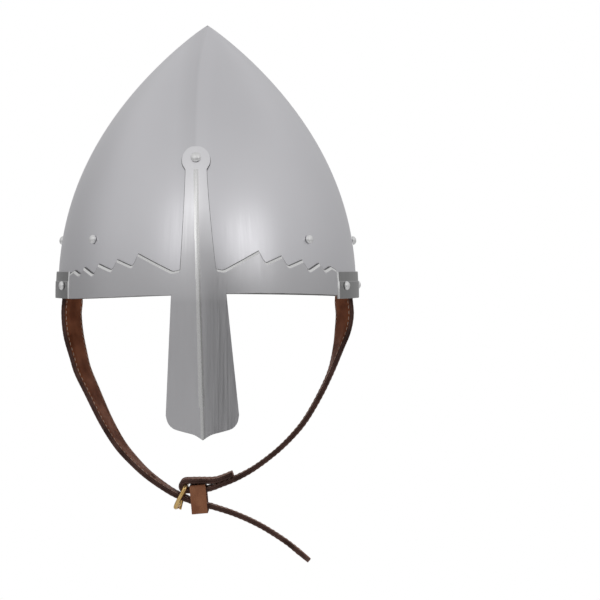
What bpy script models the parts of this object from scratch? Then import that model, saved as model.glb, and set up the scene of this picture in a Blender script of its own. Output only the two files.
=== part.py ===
"""Norman nasal helmet: a pointed steel skull with a medial ridge, a brow band with a sawtooth
upper edge that is one sheet with the nasal and the upright bar, a plain band round the back,
domed rivets, and a leather chin strap fastened at a brass ring buckle.

Metres, +Z up, front towards -Y, +X to the wearer's left. The origin is the centre of the head
opening, in the plane of the rim. Angles round the skull are measured from the front ridge,
positive towards +X.
"""
import math

import bmesh
import bpy
from mathutils import Matrix, Vector

# Skull: half width at height z is RIM_HALF_WIDTH * (1 - (z / CROWN_HEIGHT) ** FULLNESS) ** TAPER
RIM_HALF_WIDTH = 0.1055
CROWN_HEIGHT = 0.1930
FULLNESS = 2.24
TAPER = 0.936
RIM_LENGTH_RATIO = 1.12
CROWN_LENGTH_RATIO = 1.05
KEEL = 0.0035
KEEL_HALF_ANGLE = math.radians(30.0)
KEEL_FADE_WIDTH = 0.030
CREST_OFFSET = -0.0015
CREST_LEAN = math.radians(-1.7)
CREST_LEAN_FADE = 6
STEEPEST_CREST = 0.9
NORMAL_STEP = 0.004
SKULL_COLUMNS = 48
SKULL_RINGS = (0.0, 0.11, 0.22, 0.33, 0.43, 0.52, 0.60, 0.68, 0.75, 0.81, 0.865, 0.91, 0.945, 0.972, 0.99)

# Sheet metal and the gaps between touching pieces
SHEET = 0.0014
SEAT_GAP = 0.0004
FIT_GAP = 0.0003

# Rim: arched a little over the brow and the nape, and the hand-fitted brow band sits slightly askew
BROW_ARCH = 0.0034
NAPE_ARCH = 0.0010
BAND_ROLL = math.radians(1.5)
ROLL_FADE_DEPTH = 0.020
SKULL_SETBACK = 0.0008

# Brow band: sawtooth upper edge, each row a corner of it, from the bar out to the band's end
# columns: angle from the ridge in degrees, height of the edge, sheet columns from the row before
SAWTOOTH = (
    (9.0, 0.0193, 1),
    (22.6, 0.0318, 3),
    (24.9, 0.0234, 1),
    (31.7, 0.0282, 2),
    (34.0, 0.0211, 1),
    (40.8, 0.0254, 2),
    (43.4, 0.0183, 1),
    (49.2, 0.0232, 2),
    (51.8, 0.0183, 1),
    (55.9, 0.0210, 1),
    (59.6, 0.0188, 1),
)
BAND_ROWS = 3

# Bar over the brow, with a round head that its rivet goes through
NOTCH_HEIGHT = 0.0203
NECK_HEIGHT = 0.0864
BAR_NECK_HALF = 0.0073
BAR_FLARE = 0.0046
BAR_FLARE_POWER = 1.3
BAR_ROWS = 6
BAR_HEAD_CENTRE = 0.0928
BAR_HEAD_RADIUS = 0.0097
BAR_HEAD_ANGLES = (-20.0, 0.0, 22.0, 42.0, 60.0, 76.0)

# Nasal: half width grows downwards, and the foot ends in an ogee point
NASAL_TOP_HALF = 0.0185
NASAL_WIDENING = 0.074
NASAL_ROWS = 6
# columns: place across the half width from the ridge to the edge, height of the foot there
NASAL_FOOT = (
    (0.0, -0.0930),
    (0.12, -0.0910),
    (0.26, -0.0892),
    (0.52, -0.0876),
    (0.80, -0.0855),
    (0.94, -0.0818),
    (1.0, -0.0772),
)

# Band round the back, with a thicker lower part
REAR_START = 59.9
REAR_LEAST_COLUMN = 2.0
REAR_HEIGHT = 0.0184
REAR_STEP_HEIGHT = 0.0120
REAR_STEP_RISE = 0.0006
REAR_UPPER_OUT = SEAT_GAP + 0.0012
REAR_LOWER_OUT = SEAT_GAP + 0.0016

# Rivets
RIVET_STEPS = 8
# columns: share of the head's radius, share of its height, from the top of the dome down
RIVET_DOME = (
    (0.0, 1.0),
    (0.58, 0.82),
    (1.0, 0.25),
    (0.97, 0.0),
)
RIVET_HEAD_RADIUS = 0.0031
RIVET_HEAD_HEIGHT = 0.0027
RIVET_SHANK_RADIUS = 0.0014
RIVET_TAIL_RADIUS = 0.0024
RIVET_TAIL_HEIGHT = 0.0009
RIVET_TAIL_TAPER = 0.75
RIVET_TAIL_GAP = 0.0006
RIDGE_TAIL_GAP = 0.0011
RIVET_HOLE_RADIUS = 0.0019
RIVET_HOLE_LENGTH = 0.030
BORE_SIDES = 8
SCREW_MERGE = 0.00001
BAR_RIVET_HEIGHT = 0.0944
BAR_RIVET_RADIUS = 0.0036
SKULL_RIVET_HEIGHT = 0.0404
SKULL_RIVET_ANGLES = (-136.0, -91.0, -45.4, 45.4, 91.0, 136.0, 180.0)
BAND_RIVET_HEIGHT = 0.0088
STRAP_RIVET_ANGLE = 91.0
BAND_RIVET_ANGLES = (-136.0, -99.0, -65.3, 65.3, 99.0, 136.0, 180.0)

# Chin strap: two layers of leather stitched together
STRAP_WIDTH = 0.0220
STRAP_THICKNESS = 0.0034
STRAP_EDGE = 0.0007
STRAP_SEATS = (0.0500, 0.0404, 0.0300)
STRAP_WALL_GAP = 0.0015
STRAP_STEPS = 2
CHIN_DEPTH = 0.0
RIGHT_STRAP_ANGLE = -91.0
LEFT_STRAP_ANGLE = 91.0

# Brass ring buckle: its bar is the top end, where the short strap folds over
RING_WIRE = 0.0014
RING_BAR_X = -0.0152
RING_BAR_Z = -0.1334
RING_DROP = 0.0168
RING_HALF_WIDTH = 0.0140
RING_TOP_CORNER = 0.0026
RING_FOOT_CORNER = 0.0070
RING_SLANT = math.radians(22.5)
RING_SKEW = 0.11
RING_TOP_STEPS = 3
RING_FOOT_STEPS = 5
WIRE_ROUNDING = 2
TONGUE_WIRE = 0.0008
TONGUE_OVERHANG = 0.0008
TONGUE_KNEE_DOWN = 0.35 * RING_DROP
TONGUE_KNEE_OUT = 0.22
TONGUE_CURL_START = 110.0
TONGUE_CURL_END = 262.0
TONGUE_CURL_STEPS = 6
SLOT_WIDTH = 0.0026
SLOT_LEFT = 0.0076
SLOT_RIGHT = 0.0011
SLOT_HALF_HEIGHT = 0.0075
HOLE_RADIUS = 0.0021
HOLE_CUT_LENGTH = 3.0 * STRAP_THICKNESS
HOLE_PLACES = (-0.0400, -0.0178, 0.0070, 0.0280, 0.0480)

# Keeper: a loop of thinner leather round the short strap and the free end
KEEPER_LEATHER = 0.0015
KEEPER_LENGTH = 0.0113
KEEPER_HEIGHT = 0.0204
KEEPER_TOP = -0.1324
KEEPER_X = -0.0060
KEEPER_TILT = math.radians(5.0)
KEEPER_SIDE_GAP = 0.0004
KEEPER_CORNER = 0.0022
KEEPER_CORNER_STEPS = 3

# Route of the long strap, from the wall on the wearer's right to the tip of the free end. It
# turns on the way down, so that its front edge stands outwards at the rim.
# columns: x, z, depth, turn of the face from the front view in degrees, share of full width
LONG_STRAP_ROUTE = (
    (-0.0993, 0.0200, 0.0020, 83.0, 1.0),
    (-0.0980, 0.0100, 0.0020, 72.0, 1.0),
    (-0.0962, -0.0010, 0.0020, 60.0, 1.0),
    (-0.0968, -0.0121, 0.0020, 60.0, 1.0),
    (-0.0954, -0.0265, 0.0020, 60.5, 1.0),
    (-0.0917, -0.0418, 0.0015, 65.0, 1.0),
    (-0.0888, -0.0521, 0.0015, 67.0, 1.0),
    (-0.0826, -0.0658, 0.0010, 70.5, 1.0),
    (-0.0726, -0.0873, 0.0010, 75.0, 1.0),
    (-0.0630, -0.1036, 0.0005, 79.0, 1.0),
    (-0.0538, -0.1148, 0.0005, 82.5, 1.0),
    (-0.0422, -0.1261, 0.0000, 86.0, 1.0),
    (-0.0269, -0.1371, 0.0000, 89.0, 1.0),
    (-0.0174, -0.1418, 0.0000, 90.0, 1.0),
    (-0.0073, -0.1457, 0.0000, 92.0, 1.0),
    (0.0039, -0.1487, 0.0000, 93.0, 1.0),
    (0.0202, -0.1541, 0.0000, 94.0, 1.0),
    (0.0373, -0.1620, 0.0000, 94.0, 1.0),
    (0.0543, -0.1726, 0.0000, 94.0, 1.0),
    (0.0650, -0.1810, 0.0000, 93.0, 1.0),
    (0.0692, -0.1845, 0.0000, 93.0, 0.84),
    (0.0721, -0.1869, 0.0000, 93.0, 0.42),
)

# Route of the short strap, from the wall on the wearer's left to the fold at the buckle
# columns as above
SHORT_STRAP_ROUTE = (
    (0.0993, 0.0200, 0.0020, 97.0, 1.0),
    (0.0980, 0.0100, 0.0020, 108.0, 1.0),
    (0.0967, -0.0010, 0.0020, 118.0, 1.0),
    (0.0974, -0.0124, 0.0020, 118.5, 1.0),
    (0.0959, -0.0241, 0.0020, 113.5, 1.0),
    (0.0931, -0.0351, 0.0015, 103.0, 1.0),
    (0.0877, -0.0522, 0.0010, 93.0, 1.0),
    (0.0797, -0.0694, 0.0005, 91.0, 1.0),
    (0.0698, -0.0864, 0.0000, 90.0, 1.0),
    (0.0606, -0.0979, 0.0000, 89.0, 1.0),
    (0.0488, -0.1094, 0.0000, 88.0, 1.0),
    (0.0336, -0.1209, 0.0000, 88.0, 1.0),
    (0.0206, -0.1281, 0.0000, 89.0, 1.0),
    (0.0094, -0.1325, 0.0000, 90.0, 1.0),
    (0.0027, -0.1350, 0.0000, 90.0, 1.0),
    (-0.0050, -0.1367, 0.0000, 90.0, 1.0),
)
# Upper layer of the fold, from above the keeper to the end of the turned-back tail
FOLD_TAIL_ROUTE = (
    (-0.0058, -0.1299, 0.0000, 90.0, 1.0),
    (0.0044, -0.1298, 0.0000, 90.0, 1.0),
    (0.0111, -0.1279, 0.0000, 90.0, 1.0),
    (0.0178, -0.1251, 0.0000, 90.0, 1.0),
)
FOLD_STEPS = 8

# Finishes: colour, roughness, metallic
STEEL = ((0.45, 0.45, 0.46), 0.34, 1.0)
RIVET_STEEL = ((0.66, 0.66, 0.67), 0.22, 1.0)
STRAP_LEATHER = ((0.075, 0.030, 0.020), 0.55, 0.0)
KEEPER_LEATHER_FINISH = ((0.24, 0.10, 0.05), 0.50, 0.0)
BRASS = ((0.80, 0.58, 0.25), 0.25, 1.0)
SHARP_ANGLE = math.radians(35.0)


def clear_scene():
    for item in list(bpy.data.objects):
        bpy.data.objects.remove(item, do_unlink=True)


def new_collection(name):
    collection = bpy.data.collections.new(name)
    bpy.context.scene.collection.children.link(collection)
    return collection


def principled(name, colour, roughness, metallic):
    material = bpy.data.materials.new(name)
    material.use_nodes = True
    shader = material.node_tree.nodes["Principled BSDF"]
    shader.inputs["Base Color"].default_value = (*colour, 1.0)
    shader.inputs["Roughness"].default_value = roughness
    shader.inputs["Metallic"].default_value = metallic
    return material


def add_object(name, data, collection, material=None):
    item = bpy.data.objects.new(name, data)
    collection.objects.link(item)
    if material:
        data.materials.append(material)
    return item


def mesh_from(bm, name):
    mesh = bpy.data.meshes.new(name)
    bm.to_mesh(mesh)
    bm.free()
    return mesh


def shade(item):
    item.data.shade_smooth()
    item.data.set_sharp_from_angle(angle=SHARP_ANGLE)


def solidify(item, thickness, offset):
    modifier = item.modifiers.new("sheet", "SOLIDIFY")
    modifier.thickness = thickness
    modifier.offset = offset
    modifier.use_even_offset = True


def cut(item, cutter):
    modifier = item.modifiers.new("cut_" + cutter.name, "BOOLEAN")
    modifier.operation = "DIFFERENCE"
    modifier.solver = "EXACT"
    modifier.object = cutter


# The skull's outer surface, which every sheet piece follows

def half_width(z):
    share = min(max(z, 0.0) / CROWN_HEIGHT, 1.0)
    return RIM_HALF_WIDTH * (1.0 - share ** FULLNESS) ** TAPER


def half_length(z):
    share = min(max(z, 0.0) / CROWN_HEIGHT, 1.0)
    ratio = RIM_LENGTH_RATIO + (CROWN_LENGTH_RATIO - RIM_LENGTH_RATIO) * share
    return half_width(z) * ratio


def crest_x(z):
    fade = 1.0 - (max(z, 0.0) / CROWN_HEIGHT) ** CREST_LEAN_FADE
    return (CREST_OFFSET + z * math.tan(CREST_LEAN)) * fade


def skull_surface(angle, z):
    """Point on the outer surface at an angle from the front ridge and a height."""
    wide = half_width(z)
    crest = crest_x(z) / wide if wide else 0.0
    crest_angle = math.asin(max(-STEEPEST_CREST, min(STEEPEST_CREST, crest)))
    turned = angle + crest_angle * (1.0 + math.cos(angle)) / 2.0
    from_front = abs(angle)
    from_back = math.pi - from_front
    height = KEEL * min(1.0, wide / KEEL_FADE_WIDTH)
    front_keel = height * max(0.0, 1.0 - from_front / KEEL_HALF_ANGLE) ** 2
    back_keel = height * max(0.0, 1.0 - from_back / KEEL_HALF_ANGLE) ** 2
    y = -half_length(z) * math.cos(turned) - front_keel + back_keel
    return Vector((wide * math.sin(turned), y, z))


def skull_normal(angle, z):
    along = skull_surface(angle + NORMAL_STEP, z) - skull_surface(angle - NORMAL_STEP, z)
    up = skull_surface(angle, z + NORMAL_STEP) - skull_surface(angle, z - NORMAL_STEP)
    return along.cross(up).normalized()


def lifted(angle, z, lift):
    return skull_surface(angle, z) + skull_normal(angle, z) * lift


def roll_rise(angle, z, x):
    """How far the band's slight skew lifts a point of it."""
    fade = min(1.0, max(0.0, 1.0 + z / ROLL_FADE_DEPTH))
    return math.tan(BAND_ROLL) * x * max(0.0, math.cos(angle)) * fade


def rim_height(angle):
    """Lower edge of the bands, lowest at the sides."""
    towards_front = math.cos(angle)
    arch = BROW_ARCH if towards_front > 0.0 else NAPE_ARCH
    x = RIM_HALF_WIDTH * math.sin(angle)
    return arch * towards_front ** 2 + roll_rise(angle, 0.0, x)


def build_skull(collection, material, cutter):
    bm = bmesh.new()
    rings = []
    for number, share in enumerate(SKULL_RINGS):
        ring = []
        for column in range(SKULL_COLUMNS):
            angle = -math.pi + column * 2.0 * math.pi / SKULL_COLUMNS
            z = share * CROWN_HEIGHT
            if number == 0:
                z = rim_height(angle) + SKULL_SETBACK
            ring.append(bm.verts.new(skull_surface(angle, z)))
        rings.append(ring)
    for lower, upper in zip(rings, rings[1:]):
        for column in range(SKULL_COLUMNS):
            after = (column + 1) % SKULL_COLUMNS
            bm.faces.new((lower[column], lower[after], upper[after], upper[column]))
    apex = bm.verts.new((0.0, 0.0, CROWN_HEIGHT))
    for column in range(SKULL_COLUMNS):
        after = (column + 1) % SKULL_COLUMNS
        bm.faces.new((rings[-1][column], rings[-1][after], apex))
    skull = add_object("skull", mesh_from(bm, "skull"), collection, material)
    solidify(skull, SHEET, -1.0)
    cut(skull, cutter)
    shade(skull)


def nasal_half(z):
    return NASAL_TOP_HALF - z * NASAL_WIDENING


def bar_half(z):
    share = min(1.0, max(0.0, (z - NOTCH_HEIGHT) / (NECK_HEIGHT - NOTCH_HEIGHT)))
    return BAR_NECK_HALF + BAR_FLARE * (1.0 - share) ** BAR_FLARE_POWER


def plate_point(x, z):
    """Inner face of the front sheet at a place across the ridge and a height."""
    place = z + roll_rise(0.0, z, x)
    surface_angle = math.asin((x + crest_x(place)) / half_width(place))
    crest_angle = math.asin(crest_x(place) / half_width(place))
    return lifted(surface_angle - crest_angle, place, SEAT_GAP)


def centre_rows():
    """Rows of the middle of the front sheet from the foot up: per column, (x share, z, half width)."""
    mirrored = [(-share, foot) for share, foot in reversed(NASAL_FOOT[1:])]
    columns = mirrored + list(NASAL_FOOT)
    rows = []
    for number in range(NASAL_ROWS):
        down = 1.0 - number / NASAL_ROWS
        row = []
        for share, foot in columns:
            z = BROW_ARCH + (foot - BROW_ARCH) * down
            row.append((share, z, nasal_half(z)))
        rows.append(row)
    for number in range(BAND_ROWS + 1):
        up = number / BAND_ROWS
        z = BROW_ARCH + (NOTCH_HEIGHT - BROW_ARCH) * up
        wide = nasal_half(BROW_ARCH) + (bar_half(NOTCH_HEIGHT) - nasal_half(BROW_ARCH)) * up
        rows.append([(share, z, wide) for share, _ in columns])
    for number in range(1, BAR_ROWS + 1):
        z = NOTCH_HEIGHT + (NECK_HEIGHT - NOTCH_HEIGHT) * number / BAR_ROWS
        rows.append([(share, z, bar_half(z)) for share, _ in columns])
    for degrees in BAR_HEAD_ANGLES:
        z = BAR_HEAD_CENTRE + BAR_HEAD_RADIUS * math.sin(math.radians(degrees))
        wide = BAR_HEAD_RADIUS * math.cos(math.radians(degrees))
        rows.append([(share, z, wide) for share, _ in columns])
    return rows


def band_columns():
    """Columns of one side of the brow band: (angle at the rim, angle at the top, top height)."""
    bar_angle = math.degrees(math.asin(bar_half(NOTCH_HEIGHT) / RIM_HALF_WIDTH))
    corner_angle = math.degrees(math.asin(nasal_half(BROW_ARCH) / RIM_HALF_WIDTH))
    first_peak = SAWTOOTH[1][0]
    angle, height = bar_angle, NOTCH_HEIGHT
    columns = []
    for next_angle, next_height, steps in SAWTOOTH:
        for step in range(1, steps + 1):
            top = angle + (next_angle - angle) * step / steps
            foot = top
            if top < first_peak:
                share = (top - bar_angle) / (first_peak - bar_angle)
                foot = corner_angle + (first_peak - corner_angle) * share
            columns.append((foot, top, height + (next_height - height) * step / steps))
        angle, height = next_angle, next_height
    return columns


def build_nasal_band(collection, material, cutter):
    bm = bmesh.new()
    grid = []
    for row in centre_rows():
        grid.append([bm.verts.new(plate_point(share * wide, z)) for share, z, wide in row])
    for lower, upper in zip(grid, grid[1:]):
        for left in range(len(lower) - 1):
            bm.faces.new((lower[left], lower[left + 1], upper[left + 1], upper[left]))
    top = bm.verts.new(plate_point(0.0, BAR_HEAD_CENTRE + BAR_HEAD_RADIUS))
    for left in range(len(grid[-1]) - 1):
        bm.faces.new((grid[-1][left], grid[-1][left + 1], top))

    band_rows = grid[NASAL_ROWS:NASAL_ROWS + BAND_ROWS + 1]
    for side in (-1, 1):
        before = [row[0] if side < 0 else row[-1] for row in band_rows]
        for foot_degrees, top_degrees, height in band_columns():
            column = []
            for number in range(BAND_ROWS + 1):
                up = number / BAND_ROWS
                angle = side * math.radians(foot_degrees + (top_degrees - foot_degrees) * up)
                foot = rim_height(angle)
                rise = height + roll_rise(angle, 0.0, RIM_HALF_WIDTH * math.sin(angle))
                column.append(bm.verts.new(lifted(angle, foot + (rise - foot) * up, SEAT_GAP)))
            for number in range(BAND_ROWS):
                corners = [before[number], column[number], column[number + 1], before[number + 1]]
                bm.faces.new(corners if side > 0 else corners[::-1])
            before = column
    band = add_object("nasal_band", mesh_from(bm, "nasal_band"), collection, material)
    solidify(band, SHEET, 1.0)
    cut(band, cutter)
    shade(band)


def loft(rings, closed=False):
    """Skin a row of matching closed rings; the ends are capped, or joined to each other."""
    bm = bmesh.new()
    made = [[bm.verts.new(point) for point in ring] for ring in rings]
    count = len(rings[0])
    pairs = list(zip(made, made[1:]))
    if closed:
        pairs.append((made[-1], made[0]))
    for before, after in pairs:
        for number in range(count):
            following = (number + 1) % count
            bm.faces.new((before[number], before[following], after[following], after[number]))
    if not closed:
        bm.faces.new(made[0][::-1])
        bm.faces.new(made[-1])
    bmesh.ops.recalc_face_normals(bm, faces=bm.faces)
    return bm


def build_rear_band(collection, material, cutter):
    section = (
        (SEAT_GAP, 0.0),
        (REAR_LOWER_OUT, 0.0),
        (REAR_LOWER_OUT, REAR_STEP_HEIGHT - REAR_STEP_RISE),
        (REAR_UPPER_OUT, REAR_STEP_HEIGHT),
        (REAR_UPPER_OUT, REAR_HEIGHT),
        (SEAT_GAP, REAR_HEIGHT),
    )
    end = 360.0 - REAR_START
    columns = [360.0 * number / SKULL_COLUMNS for number in range(SKULL_COLUMNS)]
    places = [REAR_START]
    places += [column for column in columns
               if REAR_START + REAR_LEAST_COLUMN < column < end - REAR_LEAST_COLUMN]
    places += [end]
    rings = []
    for degrees in places:
        angle = math.radians(degrees if degrees <= 180.0 else degrees - 360.0)
        foot = NAPE_ARCH * min(0.0, math.cos(angle)) ** 2
        rings.append([lifted(angle, foot + z, lift) for lift, z in section])
    band = add_object("rear_band", mesh_from(loft(rings), "rear_band"), collection, material)
    cut(band, cutter)
    shade(band)


def rivet_mesh(name, head_radius, grip):
    """Half profile of a rivet, from the top of its dome down to its clenched tail."""
    profile = [(across * head_radius, up * RIVET_HEAD_HEIGHT) for across, up in RIVET_DOME]
    profile += [
        (RIVET_SHANK_RADIUS, 0.0),
        (RIVET_SHANK_RADIUS, -grip),
        (RIVET_TAIL_RADIUS, -grip),
        (RIVET_TAIL_TAPER * RIVET_TAIL_RADIUS, -grip - RIVET_TAIL_HEIGHT),
        (0.0, -grip - RIVET_TAIL_HEIGHT),
    ]
    bm = bmesh.new()
    points = [bm.verts.new((x, 0.0, z)) for x, z in profile]
    for first, second in zip(points, points[1:]):
        bm.edges.new((first, second))
    return mesh_from(bm, name)


def build_rivet(name, angle, z, seat, tail, head_radius, collection, material):
    """A rivet whose head is seated at one lift off the skull and whose tail is at another."""
    mesh = rivet_mesh(name, head_radius, seat - tail)
    rivet = add_object(name, mesh, collection, material)
    screw = rivet.modifiers.new("turn", "SCREW")
    screw.steps = RIVET_STEPS
    screw.render_steps = RIVET_STEPS
    screw.use_merge_vertices = True
    screw.merge_threshold = SCREW_MERGE
    rivet.location = lifted(angle, z, seat)
    rivet.rotation_euler = skull_normal(angle, z).to_track_quat("Z", "Y").to_euler()
    mesh.shade_smooth()


def wall_face(degrees):
    """Where a rivet's tail seats inside the skull; the wall is bent where it stands on a ridge."""
    on_ridge = degrees in (0.0, 180.0)
    return -SHEET - (RIDGE_TAIL_GAP if on_ridge else RIVET_TAIL_GAP)


def add_bore(bm, centre, axis, radius, length):
    turn = axis.to_track_quat("Z", "Y").to_matrix().to_4x4()
    matrix = Matrix.Translation(centre) @ turn
    bmesh.ops.create_cone(bm, cap_ends=True, segments=BORE_SIDES, radius1=radius, radius2=radius,
                          depth=length, matrix=matrix)


def build_cutter(name, bm, collection):
    cutter = add_object(name, mesh_from(bm, name), collection)
    cutter.display_type = "WIRE"
    cutter.hide_render = True
    return cutter


def rivet_bores(name, places, collection):
    bm = bmesh.new()
    for angle, z in places:
        add_bore(bm, skull_surface(angle, z), skull_normal(angle, z), RIVET_HOLE_RADIUS,
                 RIVET_HOLE_LENGTH)
    return build_cutter(name, bm, collection)


def smooth_route(rows, steps):
    """Catmull-Rom curve through the rows, with every column carried along."""
    ends = [tuple(2.0 * a - b for a, b in zip(rows[0], rows[1]))]
    ends += list(rows)
    ends += [tuple(2.0 * a - b for a, b in zip(rows[-1], rows[-2]))]
    route = []
    for number in range(1, len(ends) - 2):
        before, start, end, after = ends[number - 1:number + 3]
        for step in range(steps):
            t = step / steps
            route.append(tuple(
                0.5 * (2.0 * b + (c - a) * t + (2.0 * a - 5.0 * b + 4.0 * c - d) * t * t
                       + (3.0 * b - a - 3.0 * c + d) * t ** 3)
                for a, b, c, d in zip(before, start, end, after)))
    route.append(tuple(rows[-1]))
    return route


def strap_frames(route):
    """Centre, tangent, width direction and thickness direction at each station of a strap."""
    centres = [Vector((x, depth, z)) for x, z, depth, _, _ in route]
    frames = []
    for number, (_, _, _, turn, share) in enumerate(route):
        before = centres[max(number - 1, 0)]
        after = centres[min(number + 1, len(centres) - 1)]
        tangent = (after - before).normalized()
        flat = tangent.cross(Vector((0.0, 1.0, 0.0))).normalized()
        deep = flat.cross(tangent)
        across = flat * math.cos(math.radians(turn)) + deep * math.sin(math.radians(turn))
        frames.append((centres[number], tangent, across, tangent.cross(across), share))
    return frames


def strap_rings(route):
    rings = []
    for centre, _, across, through, share in strap_frames(route):
        wide = STRAP_WIDTH / 2.0 * share
        thick = STRAP_THICKNESS / 2.0
        section = (
            (wide, thick - STRAP_EDGE), (wide - STRAP_EDGE, thick),
            (STRAP_EDGE - wide, thick), (-wide, thick - STRAP_EDGE),
            (-wide, STRAP_EDGE - thick), (STRAP_EDGE - wide, -thick),
            (wide - STRAP_EDGE, -thick), (wide, STRAP_EDGE - thick),
        )
        rings.append([centre + across * w + through * t for w, t in section])
    return rings


def hanging_start(angle_degrees):
    """Rows of a strap's top end, flat against the inside of the skull."""
    angle = math.radians(angle_degrees)
    rows = []
    for z in STRAP_SEATS:
        point = lifted(angle, z, -(SHEET + STRAP_WALL_GAP + STRAP_THICKNESS / 2.0))
        normal = skull_normal(angle, z)
        turn = math.degrees(math.atan2(abs(normal.x), -normal.y * math.copysign(1.0, normal.x)))
        rows.append((point.x, z, point.y, turn, 1.0))
    return rows


def long_strap_route():
    return smooth_route(hanging_start(RIGHT_STRAP_ANGLE) + list(LONG_STRAP_ROUTE), STRAP_STEPS)


def short_strap_route():
    """Down to the buckle, round its bar and back along itself."""
    down = smooth_route(hanging_start(LEFT_STRAP_ANGLE) + list(SHORT_STRAP_ROUTE), STRAP_STEPS)
    radius = RING_WIRE + FIT_GAP + STRAP_THICKNESS / 2.0
    fold = []
    for step in range(FOLD_STEPS + 1):
        angle = math.radians(-90.0 - 180.0 * step / FOLD_STEPS)
        x = RING_BAR_X + radius * math.cos(angle)
        z = RING_BAR_Z + radius * math.sin(angle)
        fold.append((x, z, CHIN_DEPTH, 90.0, 1.0))
    return down + fold + smooth_route(FOLD_TAIL_ROUTE, STRAP_STEPS)


def build_strap(name, route, collection, material, cutters):
    strap = add_object(name, mesh_from(loft(strap_rings(route)), name), collection, material)
    for cutter in cutters:
        cut(strap, cutter)
    shade(strap)


def strap_holes(route, collection):
    """Punched holes square through the long strap, at places along x."""
    frames = strap_frames(route)
    bm = bmesh.new()
    for place in HOLE_PLACES:
        lower = max(n for n, frame in enumerate(frames) if frame[0].x < place)
        start, _, _, through, _ = frames[lower]
        end = frames[lower + 1][0]
        centre = start.lerp(end, (place - start.x) / (end.x - start.x))
        add_bore(bm, centre, through, HOLE_RADIUS, HOLE_CUT_LENGTH)
    return build_cutter("strap_hole_cutter", bm, collection)


def fold_slot(collection):
    """Slot in the fold, which the tongue's curled end sits in."""
    bm = bmesh.new()
    centre = Vector((RING_BAR_X + (SLOT_RIGHT - SLOT_LEFT) / 2.0, CHIN_DEPTH, RING_BAR_Z))
    size = Vector((SLOT_LEFT + SLOT_RIGHT, SLOT_WIDTH, 2.0 * SLOT_HALF_HEIGHT))
    bmesh.ops.create_cube(bm, size=1.0, matrix=Matrix.LocRotScale(centre, None, size))
    return build_cutter("fold_slot_cutter", bm, collection)


def wire(name, points, radius, cyclic, collection, material):
    curve = bpy.data.curves.new(name, "CURVE")
    curve.dimensions = "3D"
    curve.bevel_depth = radius
    curve.bevel_resolution = WIRE_ROUNDING
    curve.use_fill_caps = True
    spline = curve.splines.new("POLY")
    spline.points.add(len(points) - 1)
    for place, point in zip(spline.points, points):
        place.co = (*point, 1.0)
    spline.use_cyclic_u = cyclic
    spline.use_smooth = True
    return add_object(name, curve, collection, material)


def ring_place(across, down, out=0.0):
    """World place from coordinates on the buckle, measured from the middle of its bar; the ring
    is sprung a little out of flat towards its foot."""
    slant = Vector((-math.sin(RING_SLANT), 0.0, -math.cos(RING_SLANT)))
    square = Vector((math.cos(RING_SLANT), 0.0, -math.sin(RING_SLANT)))
    origin = Vector((RING_BAR_X, CHIN_DEPTH, RING_BAR_Z))
    lean = out + RING_SKEW * across * down / RING_DROP
    return origin + slant * down + square * lean + Vector((0.0, across, 0.0))


def rounded_corner(centre_a, centre_b, radius, start, steps):
    points = []
    for step in range(steps + 1):
        angle = math.radians(start + 90.0 * step / steps)
        points.append((centre_a + radius * math.cos(angle), centre_b + radius * math.sin(angle)))
    return points


def build_buckle_ring(collection, material):
    top = RING_TOP_CORNER
    foot = RING_FOOT_CORNER
    outline = rounded_corner(RING_HALF_WIDTH - foot, RING_DROP - foot, foot, 0.0, RING_FOOT_STEPS)
    outline += rounded_corner(foot - RING_HALF_WIDTH, RING_DROP - foot, foot, 90.0, RING_FOOT_STEPS)
    outline += rounded_corner(top - RING_HALF_WIDTH, top, top, 180.0, RING_TOP_STEPS)
    outline += rounded_corner(RING_HALF_WIDTH - top, top, top, 270.0, RING_TOP_STEPS)
    points = [ring_place(across, down) for across, down in outline]
    wire("buckle_ring", points, RING_WIRE, True, collection, material)


def build_tongue(collection, material):
    """Wire curled round the bar, then straight through the strap and on to the ring's foot."""
    reach = RING_WIRE + FIT_GAP + TONGUE_WIRE
    points = []
    for step in range(TONGUE_CURL_STEPS + 1):
        share = step / TONGUE_CURL_STEPS
        angle = math.radians(TONGUE_CURL_START + (TONGUE_CURL_END - TONGUE_CURL_START) * share)
        x = RING_BAR_X + reach * math.cos(angle)
        z = RING_BAR_Z + reach * math.sin(angle)
        points.append(Vector((x, CHIN_DEPTH, z)))
    points.append(ring_place(0.0, TONGUE_KNEE_DOWN, TONGUE_KNEE_OUT * reach))
    points.append(ring_place(0.0, RING_DROP, reach))
    points.append(ring_place(0.0, RING_DROP + TONGUE_OVERHANG, reach))
    wire("buckle_tongue", points, TONGUE_WIRE, False, collection, material)


def build_keeper(collection, material):
    """Closed strip of leather, standing round the two straps."""
    half_across = STRAP_WIDTH / 2.0 + KEEPER_SIDE_GAP + KEEPER_LEATHER
    corner = KEEPER_CORNER
    half_up = KEEPER_HEIGHT / 2.0
    outline = []
    for start, side, level in ((0.0, 1, 1), (90.0, -1, 1), (180.0, -1, -1), (270.0, 1, -1)):
        outline += rounded_corner(side * (half_across - corner), level * (half_up - corner),
                                  corner, start, KEEPER_CORNER_STEPS)
    bm = bmesh.new()
    ends = []
    for x in (-KEEPER_LENGTH / 2.0, KEEPER_LENGTH / 2.0):
        ends.append([bm.verts.new((x, across, up)) for across, up in outline])
    for number in range(len(outline)):
        following = (number + 1) % len(outline)
        bm.faces.new((ends[0][number], ends[1][number], ends[1][following], ends[0][following]))
    bmesh.ops.recalc_face_normals(bm, faces=bm.faces)
    keeper = add_object("keeper", mesh_from(bm, "keeper"), collection, material)
    keeper.location = (KEEPER_X, CHIN_DEPTH, KEEPER_TOP - half_up)
    keeper.rotation_euler = (0.0, -KEEPER_TILT, 0.0)
    solidify(keeper, KEEPER_LEATHER, -1.0)
    shade(keeper)


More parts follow.
